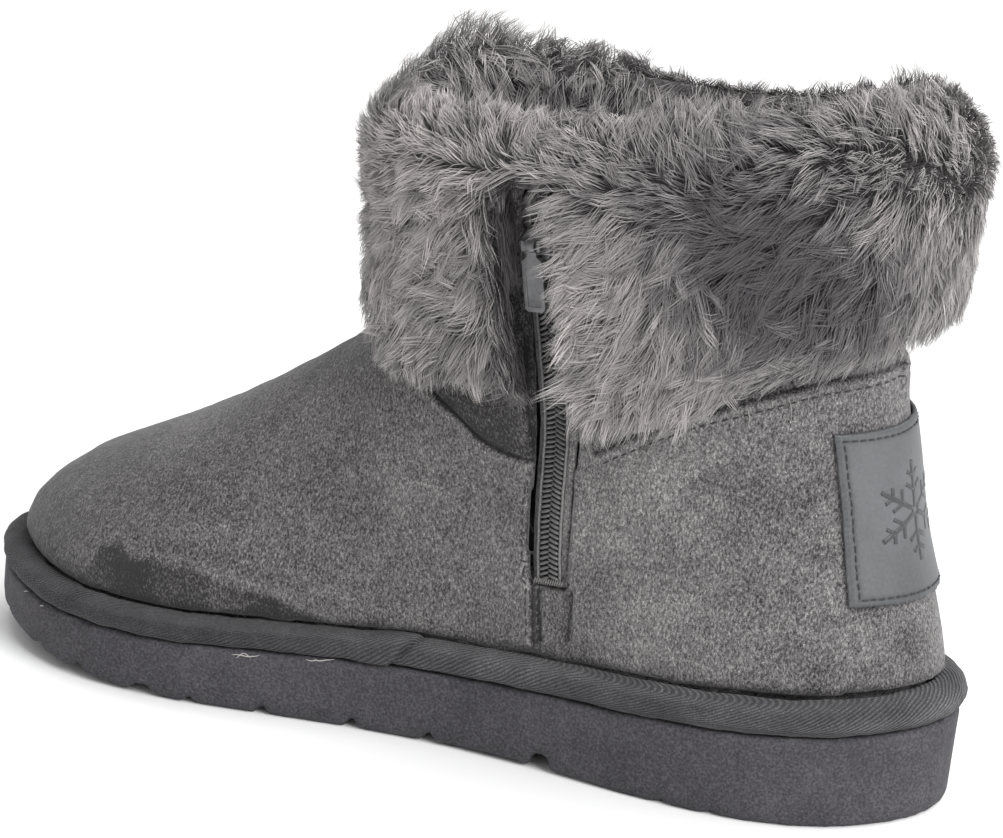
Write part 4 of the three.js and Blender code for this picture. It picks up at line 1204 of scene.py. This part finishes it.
cuff_ground = ground_of(pelt, inset)
grow("fur_under", cuff_ground, room_for, CUFF_TONES, 32000, 7.5, 0.5, 8, 0.26)
grow("fur_outer_1", cuff_ground, room_for, CUFF_TONES, 36000, 10.0, 0.48, 11, 0.22)
grow("fur_outer_2", cuff_ground, room_for, CUFF_TONES, 36000, 11.0, 0.45, 15, 0.22)

# A few wisps hang loose below the fur, and pale threads fray from the sole's seam.
WISPS = [
    [(31, -9, 97), (31.4, -9.6, 93), (30.6, -8.9, 89.6), (31.0, -8.2, 86.4)],
    [(24.5, -16.5, 101), (24.9, -17.4, 97.5), (24.3, -17.2, 94.4)],
    [(33.5, -6.4, 98), (34.6, -5.9, 94.0), (33.8, -4.8, 90.0), (34.4, -4.6, 87.5)],
    [(39.2, 61.0, 96), (39.0, 61.6, 91.5), (38.3, 59.6, 86.6), (38.0, 57.9, 82.8)],
    [(37.4, 83, 104), (37.0, 84.2, 100.2), (36.2, 83.6, 96.8)],
    [(33.2, 92, 106), (33.4, 93.4, 102.5), (32.5, 93.2, 99.4)],
]
FRAYS = [
    [(43.9, -46.4, 15.9), (44.3, -44.3, 16.2), (43.6, -41.6, 16.1), (42.9, -38.9, 17.0)],
    [(43.4, -45.0, 15.2), (43.6, -43.1, 16.8), (43.0, -41.2, 15.9)],
    [(40.9, -27.0, 17.6), (41.2, -25.2, 17.5), (40.4, -22.3, 18.3), (39.7, -19.6, 18.8)],
    [(35.4, -111.6, 17.0), (35.7, -110.7, 17.4), (35.3, -109.8, 17.1)],
    [(40.2, -104.0, 16.0), (40.4, -103.1, 16.4), (40.0, -102.3, 16.1)],
]


def loose_ends(name, routes, tree, off, radius, finish, slot):
    """Fine tapering threads laid a little off a surface along given routes."""
    strands = []
    for route in routes:
        laid = []
        for p in curve_through([mm(*c) for c in route]):
            near, n, _, _ = tree.find_nearest(p)
            laid.append(near + n * off * MM)
        strands.append(thread(name, laid, radius))
    dress(join(name, strands), "boot", slot, finish)


loose_ends("fur_wisps", WISPS, wall_tree, 0.9, 0.17, WISP, "fur")
loose_ends("frayed_threads", FRAYS, tree_of(sole), 0.25, 0.16, PALE_THREAD, "suede")


# Short pile on the lining, inside the shaft and over the insole.
def inside_wall(root, n):
    """True on the shaft's inner skin, away from the toe and the zip."""
    centre = np.array([MIDDLE_X * MM, 45 * MM])
    inward = ((centre - root[:, :2]) * n[:, :2]).sum(1) > 0
    high = (root[:, 2] > 34 * MM) & (root[:, 2] < 140 * MM) & (root[:, 1] > -55 * MM)
    facing_in = np.array([meets(wall_tree, p, q) for p, q in zip(root, n)])
    clear_of_zip = ~((root[:, 0] > 20 * MM) & (np.abs(root[:, 1] - 35 * MM) < 8 * MM))
    return inward & high & facing_in & clear_of_zip


def on_footbed(root, n):
    """True on the insole's upper face, as far forward as it can be seen."""
    return (n[:, 2] > 0.6) & (root[:, 1] > -60 * MM)


for piece in (
        grow("lining_pile", ground_of(suede, 2.2), inside_wall, LINING_TONES,
             9000, 6.0, 0.6, 10, 0.34),
        grow("insole_pile", ground_of(insole, 2.0), on_footbed, LINING_TONES,
             6000, 5.0, 0.9, 9, 0.34)):
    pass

# ---------------------------------------------------------------- floor, light and camera
clear_selection()
bpy.ops.mesh.primitive_plane_add(size=9, location=(0, 0, 0))
floor = bpy.context.object
floor.name = "floor"
pale = Finish("pale_floor", Roughness=0.6)
pale.shader.inputs["Specular IOR Level"].default_value = 0.2
floor.data.materials.append(pale.set(Base_Color=pale.ramp(
    pale.noise(300, 2.0), (0.0, (0.92, 0.92, 0.92)), (1.0, (0.94, 0.94, 0.94)))))


def soft_light(name, place, target, size, power):
    light = bpy.data.lights.new(name, "AREA")
    light.size, light.energy = size, power
    lamp = bpy.data.objects.new(name, light)
    bpy.context.scene.collection.objects.link(lamp)
    lamp.location = place
    lamp.rotation_euler = (Vector(target) - Vector(place)).to_track_quat("-Z", "Y").to_euler()


soft_light("key", (0.75, 1.35, 1.15), (0, 0.05, 0.09), 0.9, 34)
soft_light("fill", (-1.1, 0.9, 1.0), (0, 0.1, 0.1), 1.2, 9)
soft_light("top", (-0.1, 0.1, 1.8), (0, 0, 0.05), 1.4, 15)
world = bpy.data.worlds.new("studio")
bpy.context.scene.world = world
world.use_nodes = True
sky = world.node_tree.nodes["Background"].inputs
sky[0].default_value, sky[1].default_value = (1, 1, 1, 1), 0.62

# The camera looks from the heel's zip side, a little from above, on a long lens.
azimuth, elevation, roll = (math.radians(a) for a in (114, 18.9, 2.85))
back = Vector((math.sin(azimuth) * math.cos(elevation),
               -math.cos(azimuth) * math.cos(elevation), math.sin(elevation)))
right = (-back).cross(Vector((0, 0, 1))).normalized()
up = right.cross(-back)
right, up = (right * math.cos(roll) + up * math.sin(roll),
             up * math.cos(roll) - right * math.sin(roll))
lens = bpy.data.cameras.new("camera")
lens.lens, lens.sensor_width = 142.5, 36
lens.shift_x, lens.shift_y = 0.0344, 0.0578
lens.clip_start = 50 * MM
camera = bpy.data.objects.new("camera", lens)
bpy.context.scene.collection.objects.link(camera)
place = Vector((0.868729, 0.383247, 0.383917))
camera.matrix_world = Matrix((
    (right.x, up.x, back.x, place.x), (right.y, up.y, back.y, place.y),
    (right.z, up.z, back.z, place.z), (0, 0, 0, 1)))
bpy.context.scene.camera = camera
bpy.context.scene.view_settings.view_transform = "Standard"
